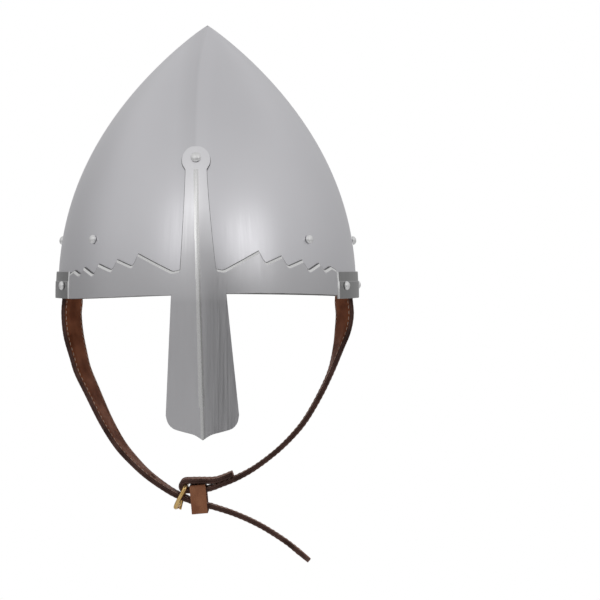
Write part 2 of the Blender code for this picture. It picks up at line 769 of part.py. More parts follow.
def build_rivets(collection, material):
    strap_face = -SHEET - STRAP_WALL_GAP - STRAP_THICKNESS - RIVET_TAIL_GAP
    build_rivet("bar_rivet", 0.0, BAR_RIVET_HEIGHT, SEAT_GAP + SHEET + FIT_GAP, wall_face(0.0),
                BAR_RIVET_RADIUS, collection, material)
    for number, degrees in enumerate(SKULL_RIVET_ANGLES, 1):
        tail = strap_face if abs(degrees) == STRAP_RIVET_ANGLE else wall_face(degrees)
        build_rivet(f"skull_rivet_{number}", math.radians(degrees), SKULL_RIVET_HEIGHT, FIT_GAP,
                    tail, RIVET_HEAD_RADIUS, collection, material)
    for number, degrees in enumerate(BAND_RIVET_ANGLES, 1):
        build_rivet(f"band_rivet_{number}", math.radians(degrees), BAND_RIVET_HEIGHT,
                    REAR_LOWER_OUT + FIT_GAP, wall_face(degrees), RIVET_HEAD_RADIUS, collection,
                    material)


def main():
    clear_scene()
    helmet = new_collection("norman_nasal_helmet")
    cutters = new_collection("cutters")

    steel = principled("brushed_steel", *STEEL)
    rivet_steel = principled("rivet_steel", *RIVET_STEEL)
    strap_leather = principled("strap_leather", *STRAP_LEATHER)
    keeper_leather = principled("keeper_leather", *KEEPER_LEATHER_FINISH)
    brass = principled("brass", *BRASS)

    skull_row = [(math.radians(degrees), SKULL_RIVET_HEIGHT) for degrees in SKULL_RIVET_ANGLES]
    band = [(math.radians(degrees), BAND_RIVET_HEIGHT) for degrees in BAND_RIVET_ANGLES]
    bar = [(0.0, BAR_RIVET_HEIGHT)]
    skull_bores = rivet_bores("skull_bores", skull_row + band + bar, cutters)
    band_bores = rivet_bores("band_bores", band, cutters)
    bar_bore = rivet_bores("bar_bore", bar, cutters)
    strap_row = [(math.radians(side * STRAP_RIVET_ANGLE), SKULL_RIVET_HEIGHT) for side in (-1, 1)]
    strap_bores = rivet_bores("strap_bores", strap_row, cutters)

    build_skull(helmet, steel, skull_bores)
    build_nasal_band(helmet, steel, bar_bore)
    build_rear_band(helmet, steel, band_bores)
    build_rivets(helmet, rivet_steel)

    long_route = long_strap_route()
    build_strap("chin_strap_long", long_route, helmet, strap_leather,
                (strap_bores, strap_holes(long_route, cutters)))
    build_strap("chin_strap_short", short_strap_route(), helmet, strap_leather,
                (strap_bores, fold_slot(cutters)))
    build_keeper(helmet, keeper_leather)
    build_buckle_ring(helmet, brass)
    build_tongue(helmet, brass)


main()
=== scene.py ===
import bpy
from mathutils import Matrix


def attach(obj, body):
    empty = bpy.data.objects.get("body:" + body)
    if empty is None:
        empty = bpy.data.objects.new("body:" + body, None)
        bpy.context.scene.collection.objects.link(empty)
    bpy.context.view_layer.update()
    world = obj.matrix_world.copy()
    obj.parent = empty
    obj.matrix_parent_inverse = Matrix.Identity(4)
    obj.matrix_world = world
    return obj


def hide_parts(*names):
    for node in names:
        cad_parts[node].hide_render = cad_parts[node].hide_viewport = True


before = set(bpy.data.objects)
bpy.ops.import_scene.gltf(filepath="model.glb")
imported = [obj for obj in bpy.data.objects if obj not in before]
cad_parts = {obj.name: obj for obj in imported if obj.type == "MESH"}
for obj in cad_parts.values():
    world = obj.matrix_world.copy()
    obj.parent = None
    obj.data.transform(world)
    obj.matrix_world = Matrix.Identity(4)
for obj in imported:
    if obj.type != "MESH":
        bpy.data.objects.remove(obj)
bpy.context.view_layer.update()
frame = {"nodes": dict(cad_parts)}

import math

import bpy
from mathutils import Matrix, Vector


# Skull: the pointed bowl, raised from one sheet of mild steel and brushed upright to a satin
# finish. A soft ridge runs up the middle of its front and back, sharper towards the point.
# The other sheet pieces follow its outer face, so they are laid out by the same shape.
RIM_HALF_WIDTH = 0.1055
CROWN_HEIGHT = 0.1930
FULLNESS = 2.24
TAPER = 0.936
RIM_LENGTH_RATIO = 1.12
CROWN_LENGTH_RATIO = 1.05
KEEL = 0.0035
KEEL_HALF_ANGLE = math.radians(30.0)
KEEL_FADE_WIDTH = 0.030
KEEL_SOFTNESS = 0.030
CREST_OFFSET = -0.0015
CREST_LEAN = math.radians(-1.7)
CREST_LEAN_FADE = 6
STEEPEST_CREST = 0.9
NORMAL_STEP = 0.004
SHEET = 0.0014
SEAT_GAP = 0.0004
FIT_GAP = 0.0003
BROW_ARCH = 0.0034
NAPE_ARCH = 0.0010
BAND_ROLL = math.radians(1.5)
ROLL_FADE_DEPTH = 0.020
SKULL_SETBACK = 0.0008
SKULL_COLUMNS = 192
SKULL_ROWS = 96
RIM_ROUNDING = 0.0003


def half_width(z):
    share = min(max(z, 0.0) / CROWN_HEIGHT, 1.0)
    return RIM_HALF_WIDTH * (1.0 - share ** FULLNESS) ** TAPER


def half_length(z):
    share = min(max(z, 0.0) / CROWN_HEIGHT, 1.0)
    ratio = RIM_LENGTH_RATIO + (CROWN_LENGTH_RATIO - RIM_LENGTH_RATIO) * share
    return half_width(z) * ratio


def crest_x(z):
    fade = 1.0 - (max(z, 0.0) / CROWN_HEIGHT) ** CREST_LEAN_FADE
    return (CREST_OFFSET + z * math.tan(CREST_LEAN)) * fade


def keel_rise(from_ridge):
    """Share of the ridge's height at an angle from its line, rounded over right on the line."""
    softened = math.hypot(from_ridge, KEEL_SOFTNESS) - KEEL_SOFTNESS
    return max(0.0, 1.0 - softened / KEEL_HALF_ANGLE) ** 2


def skull_surface(angle, z):
    """Point on the skull's outer face at an angle from the front ridge and a height."""
    wide = half_width(z)
    crest = crest_x(z) / wide if wide else 0.0
    crest_angle = math.asin(max(-STEEPEST_CREST, min(STEEPEST_CREST, crest)))
    turned = angle + crest_angle * (1.0 + math.cos(angle)) / 2.0
    height = KEEL * min(1.0, wide / KEEL_FADE_WIDTH)
    keel = height * (keel_rise(math.pi - abs(angle)) - keel_rise(abs(angle)))
    return Vector((wide * math.sin(turned), keel - half_length(z) * math.cos(turned), z))


def skull_normal(angle, z):
    along = skull_surface(angle + NORMAL_STEP, z) - skull_surface(angle - NORMAL_STEP, z)
    up = skull_surface(angle, z + NORMAL_STEP) - skull_surface(angle, z - NORMAL_STEP)
    return along.cross(up).normalized()


def lifted(angle, z, lift):
    return skull_surface(angle, z) + skull_normal(angle, z) * lift


def roll_rise(angle, z, x):
    """How far the band's slight skew lifts a point of it."""
    fade = min(1.0, max(0.0, 1.0 + z / ROLL_FADE_DEPTH))
    return math.tan(BAND_ROLL) * x * max(0.0, math.cos(angle)) * fade


def rim_height(angle):
    """Lower edge of the bands, lowest at the sides."""
    towards_front = math.cos(angle)
    arch = BROW_ARCH if towards_front > 0.0 else NAPE_ARCH
    x = RIM_HALF_WIDTH * math.sin(angle)
    return arch * towards_front ** 2 + roll_rise(angle, 0.0, x)


def grid_sheet(name, columns, rows, place):
    """A grid of faces, each corner put where place says for its share across and up."""
    bpy.ops.object.select_all(action="DESELECT")
    bpy.ops.mesh.primitive_grid_add(x_subdivisions=columns, y_subdivisions=rows, size=1.0)
    sheet = bpy.context.object
    sheet.name = name
    for corner in sheet.data.vertices:
        corner.co = place(round((corner.co.x + 0.5) * columns), round((corner.co.y + 0.5) * rows))
    bpy.ops.object.mode_set(mode="EDIT")
    bpy.ops.mesh.select_all(action="SELECT")
    bpy.ops.mesh.remove_doubles(threshold=0.000002)
    bpy.ops.object.mode_set(mode="OBJECT")
    return sheet


def apply_modifier(piece, kind, **settings):
    modifier = piece.modifiers.new(kind.lower(), kind)
    for setting, value in settings.items():
        setattr(modifier, setting, value)
    bpy.context.view_layer.objects.active = piece
    bpy.ops.object.modifier_apply(modifier=modifier.name)


def smooth_shaded(piece, degrees):
    bpy.ops.object.select_all(action="DESELECT")
    piece.select_set(True)
    bpy.context.view_layer.objects.active = piece
    bpy.ops.object.shade_smooth_by_angle(angle=math.radians(degrees))


def declared(piece, node):
    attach(piece, "root")
    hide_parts(node)


def node_group(name, inputs, outputs):
    """An empty shader node group, with its entry and exit."""
    group = bpy.data.node_groups.new(name, "ShaderNodeTree")
    for label, kind in inputs:
        group.interface.new_socket(name=label, in_out="INPUT", socket_type=kind)
    for label in outputs:
        group.interface.new_socket(name=label, in_out="OUTPUT", socket_type="NodeSocketFloat")
    return group, group.nodes.new("NodeGroupInput"), group.nodes.new("NodeGroupOutput")


def vector_step(tree, operation, first, second):
    """A vector maths node; its second value is a socket or fixed numbers."""
    step = tree.nodes.new("ShaderNodeVectorMath")
    step.operation = operation
    tree.links.new(first, step.inputs[0])
    if isinstance(second, tuple):
        step.inputs[1].default_value = second
    elif second:
        tree.links.new(second, step.inputs["Scale" if operation == "SCALE" else 1])
    return step.outputs["Vector"]


def noise(tree, place, scale, detail):
    texture = tree.nodes.new("ShaderNodeTexNoise")
    texture.inputs["Scale"].default_value = scale
    texture.inputs["Detail"].default_value = detail
    tree.links.new(place, texture.inputs["Vector"])
    return texture.outputs["Fac"]


# Upright brushing marks: noise stretched up the wall and packed round it
brushing, entry, leave = node_group(
    "steel_brushing",
    (("Place", "NodeSocketVector"), ("Fineness", "NodeSocketFloat"), ("Rise", "NodeSocketFloat")),
    ("Marks", "Cloud"))
flat = vector_step(brushing, "MULTIPLY", entry.outputs["Place"], (1.0, 1.0, 0.0))
round_the_wall = vector_step(brushing, "NORMALIZE", flat, None)
packed = vector_step(brushing, "SCALE", round_the_wall, entry.outputs["Fineness"])
upright = vector_step(brushing, "MULTIPLY", entry.outputs["Place"], (0.0, 0.0, 1.0))
stretched = vector_step(brushing, "SCALE", upright, entry.outputs["Rise"])
marks_place = vector_step(brushing, "ADD", packed, stretched)
brushing.links.new(noise(brushing, marks_place, 1.0, 4.0), leave.inputs["Marks"])
brushing.links.new(noise(brushing, entry.outputs["Place"], 14.0, 2.0), leave.inputs["Cloud"])


def ranged(tree, source, low, high, start=0.0, end=1.0):
    spread = tree.nodes.new("ShaderNodeMapRange")
    spread.inputs["From Min"].default_value = start
    spread.inputs["From Max"].default_value = end
    spread.inputs["To Min"].default_value = low
    spread.inputs["To Max"].default_value = high
    tree.links.new(source, spread.inputs["Value"])
    return spread.outputs["Result"]


def blended(tree, share, first, second):
    mix = tree.nodes.new("ShaderNodeMix")
    mix.data_type = "RGBA"
    mix.inputs["A"].default_value = (*first, 1.0)
    mix.inputs["B"].default_value = (*second, 1.0)
    tree.links.new(share, mix.inputs["Factor"])
    return mix.outputs["Result"]


def embossed(tree, shader, height, strength, depth):
    bump = tree.nodes.new("ShaderNodeBump")
    bump.inputs["Strength"].default_value = strength
    bump.inputs["Distance"].default_value = depth
    tree.links.new(height, bump.inputs["Height"])
    tree.links.new(bump.outputs["Normal"], shader.inputs["Normal"])


def new_material(name):
    material = bpy.data.materials.new(name)
    material.use_nodes = True
    tree = material.node_tree
    place = tree.nodes.new("ShaderNodeTexCoord").outputs["Object"]
    return material, tree, tree.nodes["Principled BSDF"], place


def brushed_steel(name, dark, light, smoothest, roughest, fineness, rise, relief):
    material, tree, shader, place = new_material(name)
    grain = tree.nodes.new("ShaderNodeGroup")
    grain.node_tree = brushing
    grain.inputs["Fineness"].default_value = fineness
    grain.inputs["Rise"].default_value = rise
    tree.links.new(place, grain.inputs["Place"])
    shader.inputs["Metallic"].default_value = 1.0
    tree.links.new(blended(tree, grain.outputs["Cloud"], dark, light), shader.inputs["Base Color"])
    rough = ranged(tree, grain.outputs["Marks"], smoothest, roughest, 0.3, 0.7)
    tree.links.new(rough, shader.inputs["Roughness"])
    embossed(tree, shader, grain.outputs["Marks"], relief, 0.0002)
    return material


def paint_light_and_shade(material, share_of):
    """Paints light and shade into a steel's colour: scales it by what share_of makes of the place's X and
    Z.
    """
    tree = material.node_tree
    colour = tree.nodes["Principled BSDF"].inputs["Base Color"]
    plain = colour.links[0].from_socket
    place = tree.nodes.new("ShaderNodeSeparateXYZ")
    tree.links.new(tree.nodes.new("ShaderNodeTexCoord").outputs["Object"], place.inputs["Vector"])
    scaled = tree.nodes.new("ShaderNodeVectorMath")
    scaled.operation = "SCALE"
    tree.links.new(plain, scaled.inputs[0])
    tree.links.new(share_of(tree, place.outputs["X"], place.outputs["Z"]), scaled.inputs["Scale"])
    tree.links.new(scaled.outputs["Vector"], colour)


def calculated(tree, operation, *values):
    step = tree.nodes.new("ShaderNodeMath")
    step.operation = operation
    for socket, value in zip(step.inputs, values):
        if isinstance(value, (int, float)):
            socket.default_value = value
        else:
            tree.links.new(value, socket)
    return step.outputs["Value"]


# Painted shade and light along the skull's ridge: the steel's colour is darkened just left of the
# crest line, as seen from the front, and lightened just right of it, standing in for how the
# light falls on the ridge's two slopes. Distance from the crest line and share of the steel's
# brightness
CREST_PAINTED_SHADING = (
    (-0.0140, 1.00),
    (-0.0060, 0.95),
    (-0.0012, 0.94),
    (0.0010, 1.02),
    (0.0060, 1.02),
    (0.0120, 1.00),
)


# Painted shade and light: the ridge's tones laid across the crest line as a colour scale
def crest_painted_shading(tree, x, z):
    lean = calculated(tree, "MULTIPLY_ADD", z, math.tan(CREST_LEAN), CREST_OFFSET)
    rise = ranged(tree, z, 0.0, 1.0, 0.0, CROWN_HEIGHT)
    fade = calculated(tree, "SUBTRACT", 1.0, calculated(tree, "POWER", rise, CREST_LEAN_FADE))
    across = calculated(tree, "SUBTRACT", x, calculated(tree, "MULTIPLY", lean, fade))
    left, right = CREST_PAINTED_SHADING[0][0], CREST_PAINTED_SHADING[-1][0]
    ramp_node = tree.nodes.new("ShaderNodeValToRGB")
    ramp = ramp_node.color_ramp
    for distance, _ in CREST_PAINTED_SHADING[1:-1]:
        ramp.elements.new((distance - left) / (right - left))
    for element, (_, share) in zip(ramp.elements, CREST_PAINTED_SHADING):
        element.color = (share / 2.0, share / 2.0, share / 2.0, 1.0)
    tree.links.new(ranged(tree, across, 0.0, 1.0, left, right), ramp_node.inputs["Fac"])
    return calculated(tree, "MULTIPLY", ramp_node.outputs["Color"], 2.0)


satin_steel = brushed_steel("satin_steel", (0.76, 0.755, 0.785), (0.82, 0.815, 0.845),
                            0.30, 0.40, 150.0, 26.0, 0.10)
# Painted shade and light on the skull's steel either side of its ridge
paint_light_and_shade(satin_steel, crest_painted_shading)
inner_steel = brushed_steel("inner_steel", (0.50, 0.50, 0.50), (0.58, 0.58, 0.58),
                            0.42, 0.55, 120.0, 20.0, 0.15)


def skull_place(column, row):
    angle = (2.0 * column / SKULL_COLUMNS - 1.0) * math.pi
    foot = rim_height(angle) + SKULL_SETBACK
    return skull_surface(angle, foot + (CROWN_HEIGHT - foot) * row / SKULL_ROWS)


skull = grid_sheet("skull_bowl", SKULL_COLUMNS, SKULL_ROWS, skull_place)
skull.data.materials.append(satin_steel)
skull.data.materials.append(inner_steel)
apply_modifier(skull, "SOLIDIFY", thickness=SHEET, offset=-1.0, use_even_offset=True,
               material_offset=1, material_offset_rim=0)
apply_modifier(skull, "BEVEL", width=RIM_ROUNDING, segments=2, limit_method="ANGLE",
               angle_limit=math.radians(60.0))
smooth_shaded(skull, 40.0)
declared(skull, "skull")


# Brow band with nasal: one sheet of the same steel, cut out with a sawtooth upper edge, an
# upright bar with a round head over the brow, and the nasal with its ogee foot. Its cut edges
# are filed and catch the light, and the teeth are bevelled. The tooth bevels and a narrow strip
# along the medial ridge are given a brighter steel, partly the filed metal and partly a painted
# highlight; the outermost border faces are given a near-black steel, a painted shadow for the
# gap against the skull.
SAWTOOTH = (
    (9.0, 0.0193),
    (22.6, 0.0318),
    (24.9, 0.0234),
    (31.7, 0.0282),
    (34.0, 0.0211),
    (40.8, 0.0254),
    (43.4, 0.0183),
    (49.2, 0.0232),
    (51.8, 0.0183),
    (55.9, 0.0210),
    (59.6, 0.0188),
)
TOOTH_COLUMN = 0.55
VALLEY_ROUNDING = 0.7
BAND_SHARES = (0.0, 0.02, 0.14, 0.30, 0.46, 0.62, 0.78)
TOOTH_BEVEL = 0.0020
TOOTH_RUN = 0.00075
TOOTH_EDGE_SHARE = 0.45
FILED_EDGE = 0.00045
BORDER_SHARE = 0.20
BAND_END_COLUMN = 0.25
RIDGE_STRIP_HALF_WIDTH = 0.0014
RIDGE_END = 0.0880
RIDGE_FADE = 0.0020
RIDGE_CREST = 0.00025
NOTCH_HEIGHT = 0.0203
NECK_HEIGHT = 0.0864
BAR_NECK_HALF = 0.0073
BAR_FLARE = 0.0046
BAR_FLARE_POWER = 1.3
BAR_ROWS = 44
BAR_HEAD_CENTRE = 0.0928
BAR_HEAD_RADIUS = 0.0097
BAR_HEAD_START = -20.0
BAR_HEAD_ROWS = 12
NASAL_TOP_HALF = 0.0185
NASAL_WIDENING = 0.074
NASAL_ROWS = 56
NASAL_FOOT = (
    (0.0, -0.0930),
    (0.12, -0.0910),
    (0.26, -0.0892),
    (0.52, -0.0876),
    (0.80, -0.0855),
    (0.94, -0.0818),
    (1.0, -0.0772),
)
FOOT_STEPS = 3
FOOT_FILE_SHARE = 0.996


def nasal_half(z):
    return NASAL_TOP_HALF - z * NASAL_WIDENING


def bar_half(z):
    share = min(1.0, max(0.0, (z - NOTCH_HEIGHT) / (NECK_HEIGHT - NOTCH_HEIGHT)))
    return BAR_NECK_HALF + BAR_FLARE * (1.0 - share) ** BAR_FLARE_POWER


def plate_point(x, z):
    """Inner face of the front sheet at a place across the ridge and a height. The ridge itself
    is hammered up to a narrow crest."""
    place = z + roll_rise(0.0, z, x)
    surface_angle = math.asin((x + crest_x(place)) / half_width(place))
    crest_angle = math.asin(crest_x(place) / half_width(place))
    crest = RIDGE_CREST * max(0.0, 1.0 - abs(x) / RIDGE_STRIP_HALF_WIDTH)
    crest *= min(1.0, max(0.0, (RIDGE_END - z) / RIDGE_FADE))
    return lifted(surface_angle - crest_angle, place, SEAT_GAP + crest)


def smooth_route(rows, steps):
    """Catmull-Rom curve through the rows, with every column carried along."""
    ends = [tuple(2.0 * a - b for a, b in zip(rows[0], rows[1]))]
    ends += list(rows)
    ends += [tuple(2.0 * a - b for a, b in zip(rows[-1], rows[-2]))]
    route = []
    for number in range(1, len(ends) - 2):
        before, start, end, after = ends[number - 1:number + 3]
        for step in range(steps):
            t = step / steps
            route.append(tuple(
                0.5 * (2.0 * b + (c - a) * t + (2.0 * a - 5.0 * b + 4.0 * c - d) * t * t
                       + (3.0 * b - a - 3.0 * c + d) * t ** 3)
                for a, b, c, d in zip(before, start, end, after)))
    route.append(tuple(rows[-1]))
    return route


def tooth_height(degrees):
    """Height of the sawtooth edge, with its valleys rounded and its points left sharp."""
    corners = [(bar_edge_degrees, NOTCH_HEIGHT)] + list(SAWTOOTH)

    def cut_height(at):
        for (start, low), (end, high) in zip(corners, corners[1:]):
            if at <= end:
                return low + (high - low) * (max(at, start) - start) / (end - start)
        return corners[-1][1]

    around = [cut_height(degrees + VALLEY_ROUNDING * offset / 4.0) for offset in range(-4, 5)]
    return max(cut_height(degrees), sum(around) / len(around))


bar_edge_degrees = math.degrees(math.asin(bar_half(NOTCH_HEIGHT) / RIM_HALF_WIDTH))
brow_corner_degrees = math.degrees(math.asin(nasal_half(BROW_ARCH) / RIM_HALF_WIDTH))

# Across the nasal and the bar: share of the half width inside the filed edge, height of the
# foot there, width of the filed edge outside it
foot_half = [(share, foot, 0.0) for share, foot in smooth_route(NASAL_FOOT, FOOT_STEPS)]
foot_half.append((1.0, foot_half[-1][1] + FILED_EDGE, FILED_EDGE))
across_plate = [(-share, foot, -edge) for share, foot, edge in foot_half[:0:-1]] + foot_half


def plate_row(half, level):
    """One row of the plate: level gives the height from the foot's height at each column."""
    row = []
    for share, foot, edge in across_plate:
        row.append(plate_point(share * (half(foot) - FILED_EDGE) + edge, level(foot)))
    return row


plate_rows = []
for number in range(NASAL_ROWS):
    down = 1.0 if number == 0 else FOOT_FILE_SHARE * (1.0 - (number - 1) / NASAL_ROWS)
    plate_rows.append(plate_row(
        lambda foot, down=down: nasal_half(BROW_ARCH + (foot - BROW_ARCH) * down),
        lambda foot, down=down: BROW_ARCH + (foot - BROW_ARCH) * down))
bevel_share = 1.0 - TOOTH_BEVEL / (NOTCH_HEIGHT - BROW_ARCH)
filed_share = 1.0 - FILED_EDGE / (NOTCH_HEIGHT - BROW_ARCH)
for up in (*BAND_SHARES, bevel_share, filed_share, 1.0):
    wide = nasal_half(BROW_ARCH) + (bar_half(NOTCH_HEIGHT) - nasal_half(BROW_ARCH)) * up
    z = BROW_ARCH + (NOTCH_HEIGHT - BROW_ARCH) * up
    plate_rows.append(plate_row(lambda _, wide=wide: wide, lambda _, z=z: z))
first_band_row = NASAL_ROWS
for number in range(1, BAR_ROWS + 1):
    z = NOTCH_HEIGHT + (NECK_HEIGHT - NOTCH_HEIGHT) * number / BAR_ROWS
    plate_rows.append(plate_row(lambda _, z=z: bar_half(z), lambda _, z=z: z))
for number in range(BAR_HEAD_ROWS):
    turn = math.radians(BAR_HEAD_START + (82.0 - BAR_HEAD_START) * number / (BAR_HEAD_ROWS - 1))
    z = BAR_HEAD_CENTRE + BAR_HEAD_RADIUS * math.sin(turn)
    wide = BAR_HEAD_RADIUS * math.cos(turn)
    plate_rows.append(plate_row(lambda _, wide=wide: wide, lambda _, z=z: z))

plate_columns = len(across_plate) - 1
plate = grid_sheet("nasal_plate", plate_columns, len(plate_rows) - 1,
                   lambda column, row: plate_rows[row][column])


def band_half(side):
    """One side of the brow band as a grid, from the bar out to the band's end."""
    places = [bar_edge_degrees]
    for end, _ in SAWTOOTH:
        start = places[-1]
        steps = max(1, round((end - start) / TOOTH_COLUMN))
        places += [start + (end - start) * step / steps for step in range(1, steps + 1)]
    places.insert(-1, places[-1] - BAND_END_COLUMN)
    shares = (*BAND_SHARES, TOOTH_BEVEL, FILED_EDGE, 0.0)
    first_peak = SAWTOOTH[1][0]

    def band_place(column, row):
        degrees = places[column]
        if column == 0:
            edge = plate_rows[first_band_row + row]
            return edge[0] if side < 0 else edge[-1]
        height = tooth_height(degrees)
        steepness = (tooth_height(degrees + 0.2) - tooth_height(degrees - 0.2)) / TOOTH_RUN
        stretch = min(2.4, math.hypot(1.0, steepness))
        blend = 1.0 - min(1.0, (degrees - bar_edge_degrees) / (first_peak - bar_edge_degrees))
        foot_degrees = degrees + (brow_corner_degrees - bar_edge_degrees) * blend
        up = shares[row]
        if row >= len(BAND_SHARES):
            up = 1.0 - (shares[row] + min(shares[row], FILED_EDGE) * (stretch - 1.0)) / (height - BROW_ARCH)
        angle = side * math.radians(foot_degrees + (degrees - foot_degrees) * up)
        foot = rim_height(angle)
        rise = height + roll_rise(angle, 0.0, RIM_HALF_WIDTH * math.sin(angle))
        return lifted(angle, foot + (rise - foot) * up, SEAT_GAP)

    return grid_sheet("brow_band_half", len(places) - 1, len(shares) - 1, band_place)


band_sides = [band_half(-1), band_half(1)]
band_sides[0].data.flip_normals()
bpy.ops.object.select_all(action="DESELECT")
for item in (plate, *band_sides):
    item.select_set(True)
bpy.context.view_layer.objects.active = plate
bpy.ops.object.join()
bpy.ops.object.mode_set(mode="EDIT")
bpy.ops.mesh.select_all(action="SELECT")
bpy.ops.mesh.remove_doubles(threshold=0.000002)
bpy.ops.object.mode_set(mode="OBJECT")

# Painted shade and light: the brow band's steel is the skull's steel made darker, standing in for the
# dimmer look of the band in its light.
plate_steel_painted_shade_and_light = brushed_steel("plate_steel_painted_shade_and_light", (0.65, 0.645, 0.665), (0.71, 0.705, 0.725),
                            0.30, 0.40, 150.0, 26.0, 0.10)
# Painted highlight, partly real filing: a much brighter steel for the tooth bevels, the strip along the
# medial ridge and the rear band's end bevels.
filed_and_highlight_steel = brushed_steel("filed_edge_and_painted_highlight", (0.84, 0.84, 0.84), (0.92, 0.92, 0.92),
                            0.22, 0.30, 240.0, 60.0, 0.06)
# Painted light: the plate's colour is lightened up the bar, by up to 38 percent between 30 and 62 mm up,
# standing in for the brighter light higher up.
paint_light_and_shade(plate_steel_painted_shade_and_light, lambda tree, x, z: ranged(tree, z, 1.0, 1.38, 0.030, 0.062))
# Painted shadow: a near-black steel for the sheet's border faces, standing in for the shade in the gap
# between its edge and the skull.
gap_shadow_steel = brushed_steel("gap_painted_shadow_edge", (0.16, 0.16, 0.16), (0.24, 0.24, 0.24),
                          0.45, 0.60, 240.0, 60.0, 0.20)
for finish in (plate_steel_painted_shade_and_light, filed_and_highlight_steel, gap_shadow_steel):
    plate.data.materials.append(finish)


def thin_the_edge(piece, is_tooth, on_ridge):
    """Vertex weights that let the sheet's thickness fall away at its cut and bevelled edges. It also
    paints a shadow on the border faces, and a highlight, partly real filing, on the tooth bevels and the
    ridge strip.
    """
    thickness = piece.vertex_groups.new(name="thickness")
    edge_use = {}
    for face in piece.data.polygons:
        for key in face.edge_keys:
            edge_use[key] = edge_use.get(key, 0) + 1
    border = {corner for key, uses in edge_use.items() if uses == 1 for corner in key}
    beside = set()
    # Painted shadow: faces at the border take the near-black steel.
    for face in piece.data.polygons:
        if any(corner in border for corner in face.vertices):
            face.material_index = 2
            beside.update(corner for corner in face.vertices if is_tooth(piece.data.vertices[corner].co))
    beside -= border
    for corner in piece.data.vertices:
        share = BORDER_SHARE if corner.index in border else 1.0
        thickness.add([corner.index], TOOTH_EDGE_SHARE if corner.index in beside else share, "REPLACE")
    # Painted highlight, partly real filing: faces beside the tooth edges and on the ridge strip take the
    # bright steel.
    for face in piece.data.polygons:
        gets_painted_highlight = any(corner in beside for corner in face.vertices) or on_ridge(face.center)
        if gets_painted_highlight and face.material_index == 0:
            face.material_index = 1


def on_tooth(place):
    return place.z > 0.0155 and abs(place.x) > bar_half(NOTCH_HEIGHT) - 0.001


def on_medial_ridge(place):
    return abs(place.x - crest_x(place.z)) < RIDGE_STRIP_HALF_WIDTH and place.z < RIDGE_END


thin_the_edge(plate, on_tooth, on_medial_ridge)
apply_modifier(plate, "SOLIDIFY", thickness=SHEET, offset=1.0, vertex_group="thickness")
smooth_shaded(plate, 24.0)
plate.name = "nasal_band_sheet"
declared(plate, "nasal_band")


# Rear band: a plain strip of steel round the sides and back, its lower part a little prouder.
# Its two ends butt against the brow band with a hair of a gap and are bevelled; the bevels take
# the bright steel, partly the filed metal and partly a painted highlight.
REAR_START = 59.9
REAR_HEIGHT = 0.0184
REAR_STEP_HEIGHT = 0.0120
REAR_STEP_RISE = 0.0006
REAR_UPPER_OUT = SEAT_GAP + 0.0012
REAR_LOWER_OUT = SEAT_GAP + 0.0016
REAR_END_BEVEL = 0.60
REAR_END_SHARE = 0.45
REAR_COLUMN = 1.5
REAR_CORNER = 0.00025
REAR_SECTION = (
    (SEAT_GAP, 0.0),
    (REAR_LOWER_OUT - REAR_CORNER, 0.0),
    (REAR_LOWER_OUT, REAR_CORNER),
    (REAR_LOWER_OUT, 0.5 * REAR_STEP_HEIGHT),
    (REAR_LOWER_OUT, REAR_STEP_HEIGHT - REAR_STEP_RISE),
    (REAR_UPPER_OUT, REAR_STEP_HEIGHT),
    (REAR_UPPER_OUT, REAR_HEIGHT - REAR_CORNER),
    (REAR_UPPER_OUT - REAR_CORNER, REAR_HEIGHT),
    (SEAT_GAP, REAR_HEIGHT),
)
rear_end = 360.0 - REAR_START
rear_places = [(REAR_START, REAR_END_SHARE), (REAR_START + REAR_END_BEVEL, 1.0)]
steps = round((rear_end - REAR_START - 2.0 * REAR_END_BEVEL) / REAR_COLUMN)
for number in range(1, steps):
    share = number / steps
    degrees = rear_places[1][0] + (rear_end - REAR_END_BEVEL - rear_places[1][0]) * share
    rear_places.append((degrees, 1.0))
rear_places += [(rear_end - REAR_END_BEVEL, 1.0), (rear_end, REAR_END_SHARE)]


def rear_place(column, row):
    degrees, share = rear_places[column]
    lift, z = REAR_SECTION[row % len(REAR_SECTION)]
    wave = 0.05 * math.sin(900.0 * z) if share < 1.0 else 0.0
    angle = math.radians(degrees + (wave if degrees < 180.0 else -wave))
    if degrees > 180.0:
        angle -= 2.0 * math.pi
    foot = NAPE_ARCH * min(0.0, math.cos(angle)) ** 2
    return lifted(angle, foot + z, SEAT_GAP + (lift - SEAT_GAP) * share)


def close_tube(piece):
    """Caps the two ends of a tube and turns its faces outwards."""
    bpy.ops.object.select_all(action="DESELECT")
    piece.select_set(True)
    bpy.context.view_layer.objects.active = piece
    bpy.ops.object.mode_set(mode="EDIT")
    bpy.ops.mesh.select_all(action="SELECT")
    bpy.ops.mesh.fill_holes(sides=0)
    bpy.ops.mesh.select_all(action="SELECT")
    bpy.ops.mesh.normals_make_consistent(inside=False)
    bpy.ops.object.mode_set(mode="OBJECT")


rear_band = grid_sheet("rear_band_strip", len(rear_places) - 1, len(REAR_SECTION), rear_place)
close_tube(rear_band)
# The rear band's steel is given a far darker colour than the skull's.
darker_band_steel = brushed_steel("darker_band_steel", (0.32, 0.32, 0.32), (0.38, 0.38, 0.38),
                           0.30, 0.42, 130.0, 26.0, 0.12)
rear_band.data.materials.append(darker_band_steel)
rear_band.data.materials.append(filed_and_highlight_steel)
end_columns = (0, 1, len(rear_places) - 2, len(rear_places) - 1)
bevel_corners = {
    corner.index for corner in rear_band.data.vertices
    if any((corner.co - rear_place(column, row)).length < 0.00001
           for column in end_columns for row in range(len(REAR_SECTION)))}
# Painted highlight, partly real filing: the end bevels take the bright steel.
for face in rear_band.data.polygons:
    if all(corner in bevel_corners for corner in face.vertices):
        face.material_index = 1
smooth_shaded(rear_band, 24.0)
declared(rear_band, "rear_band")


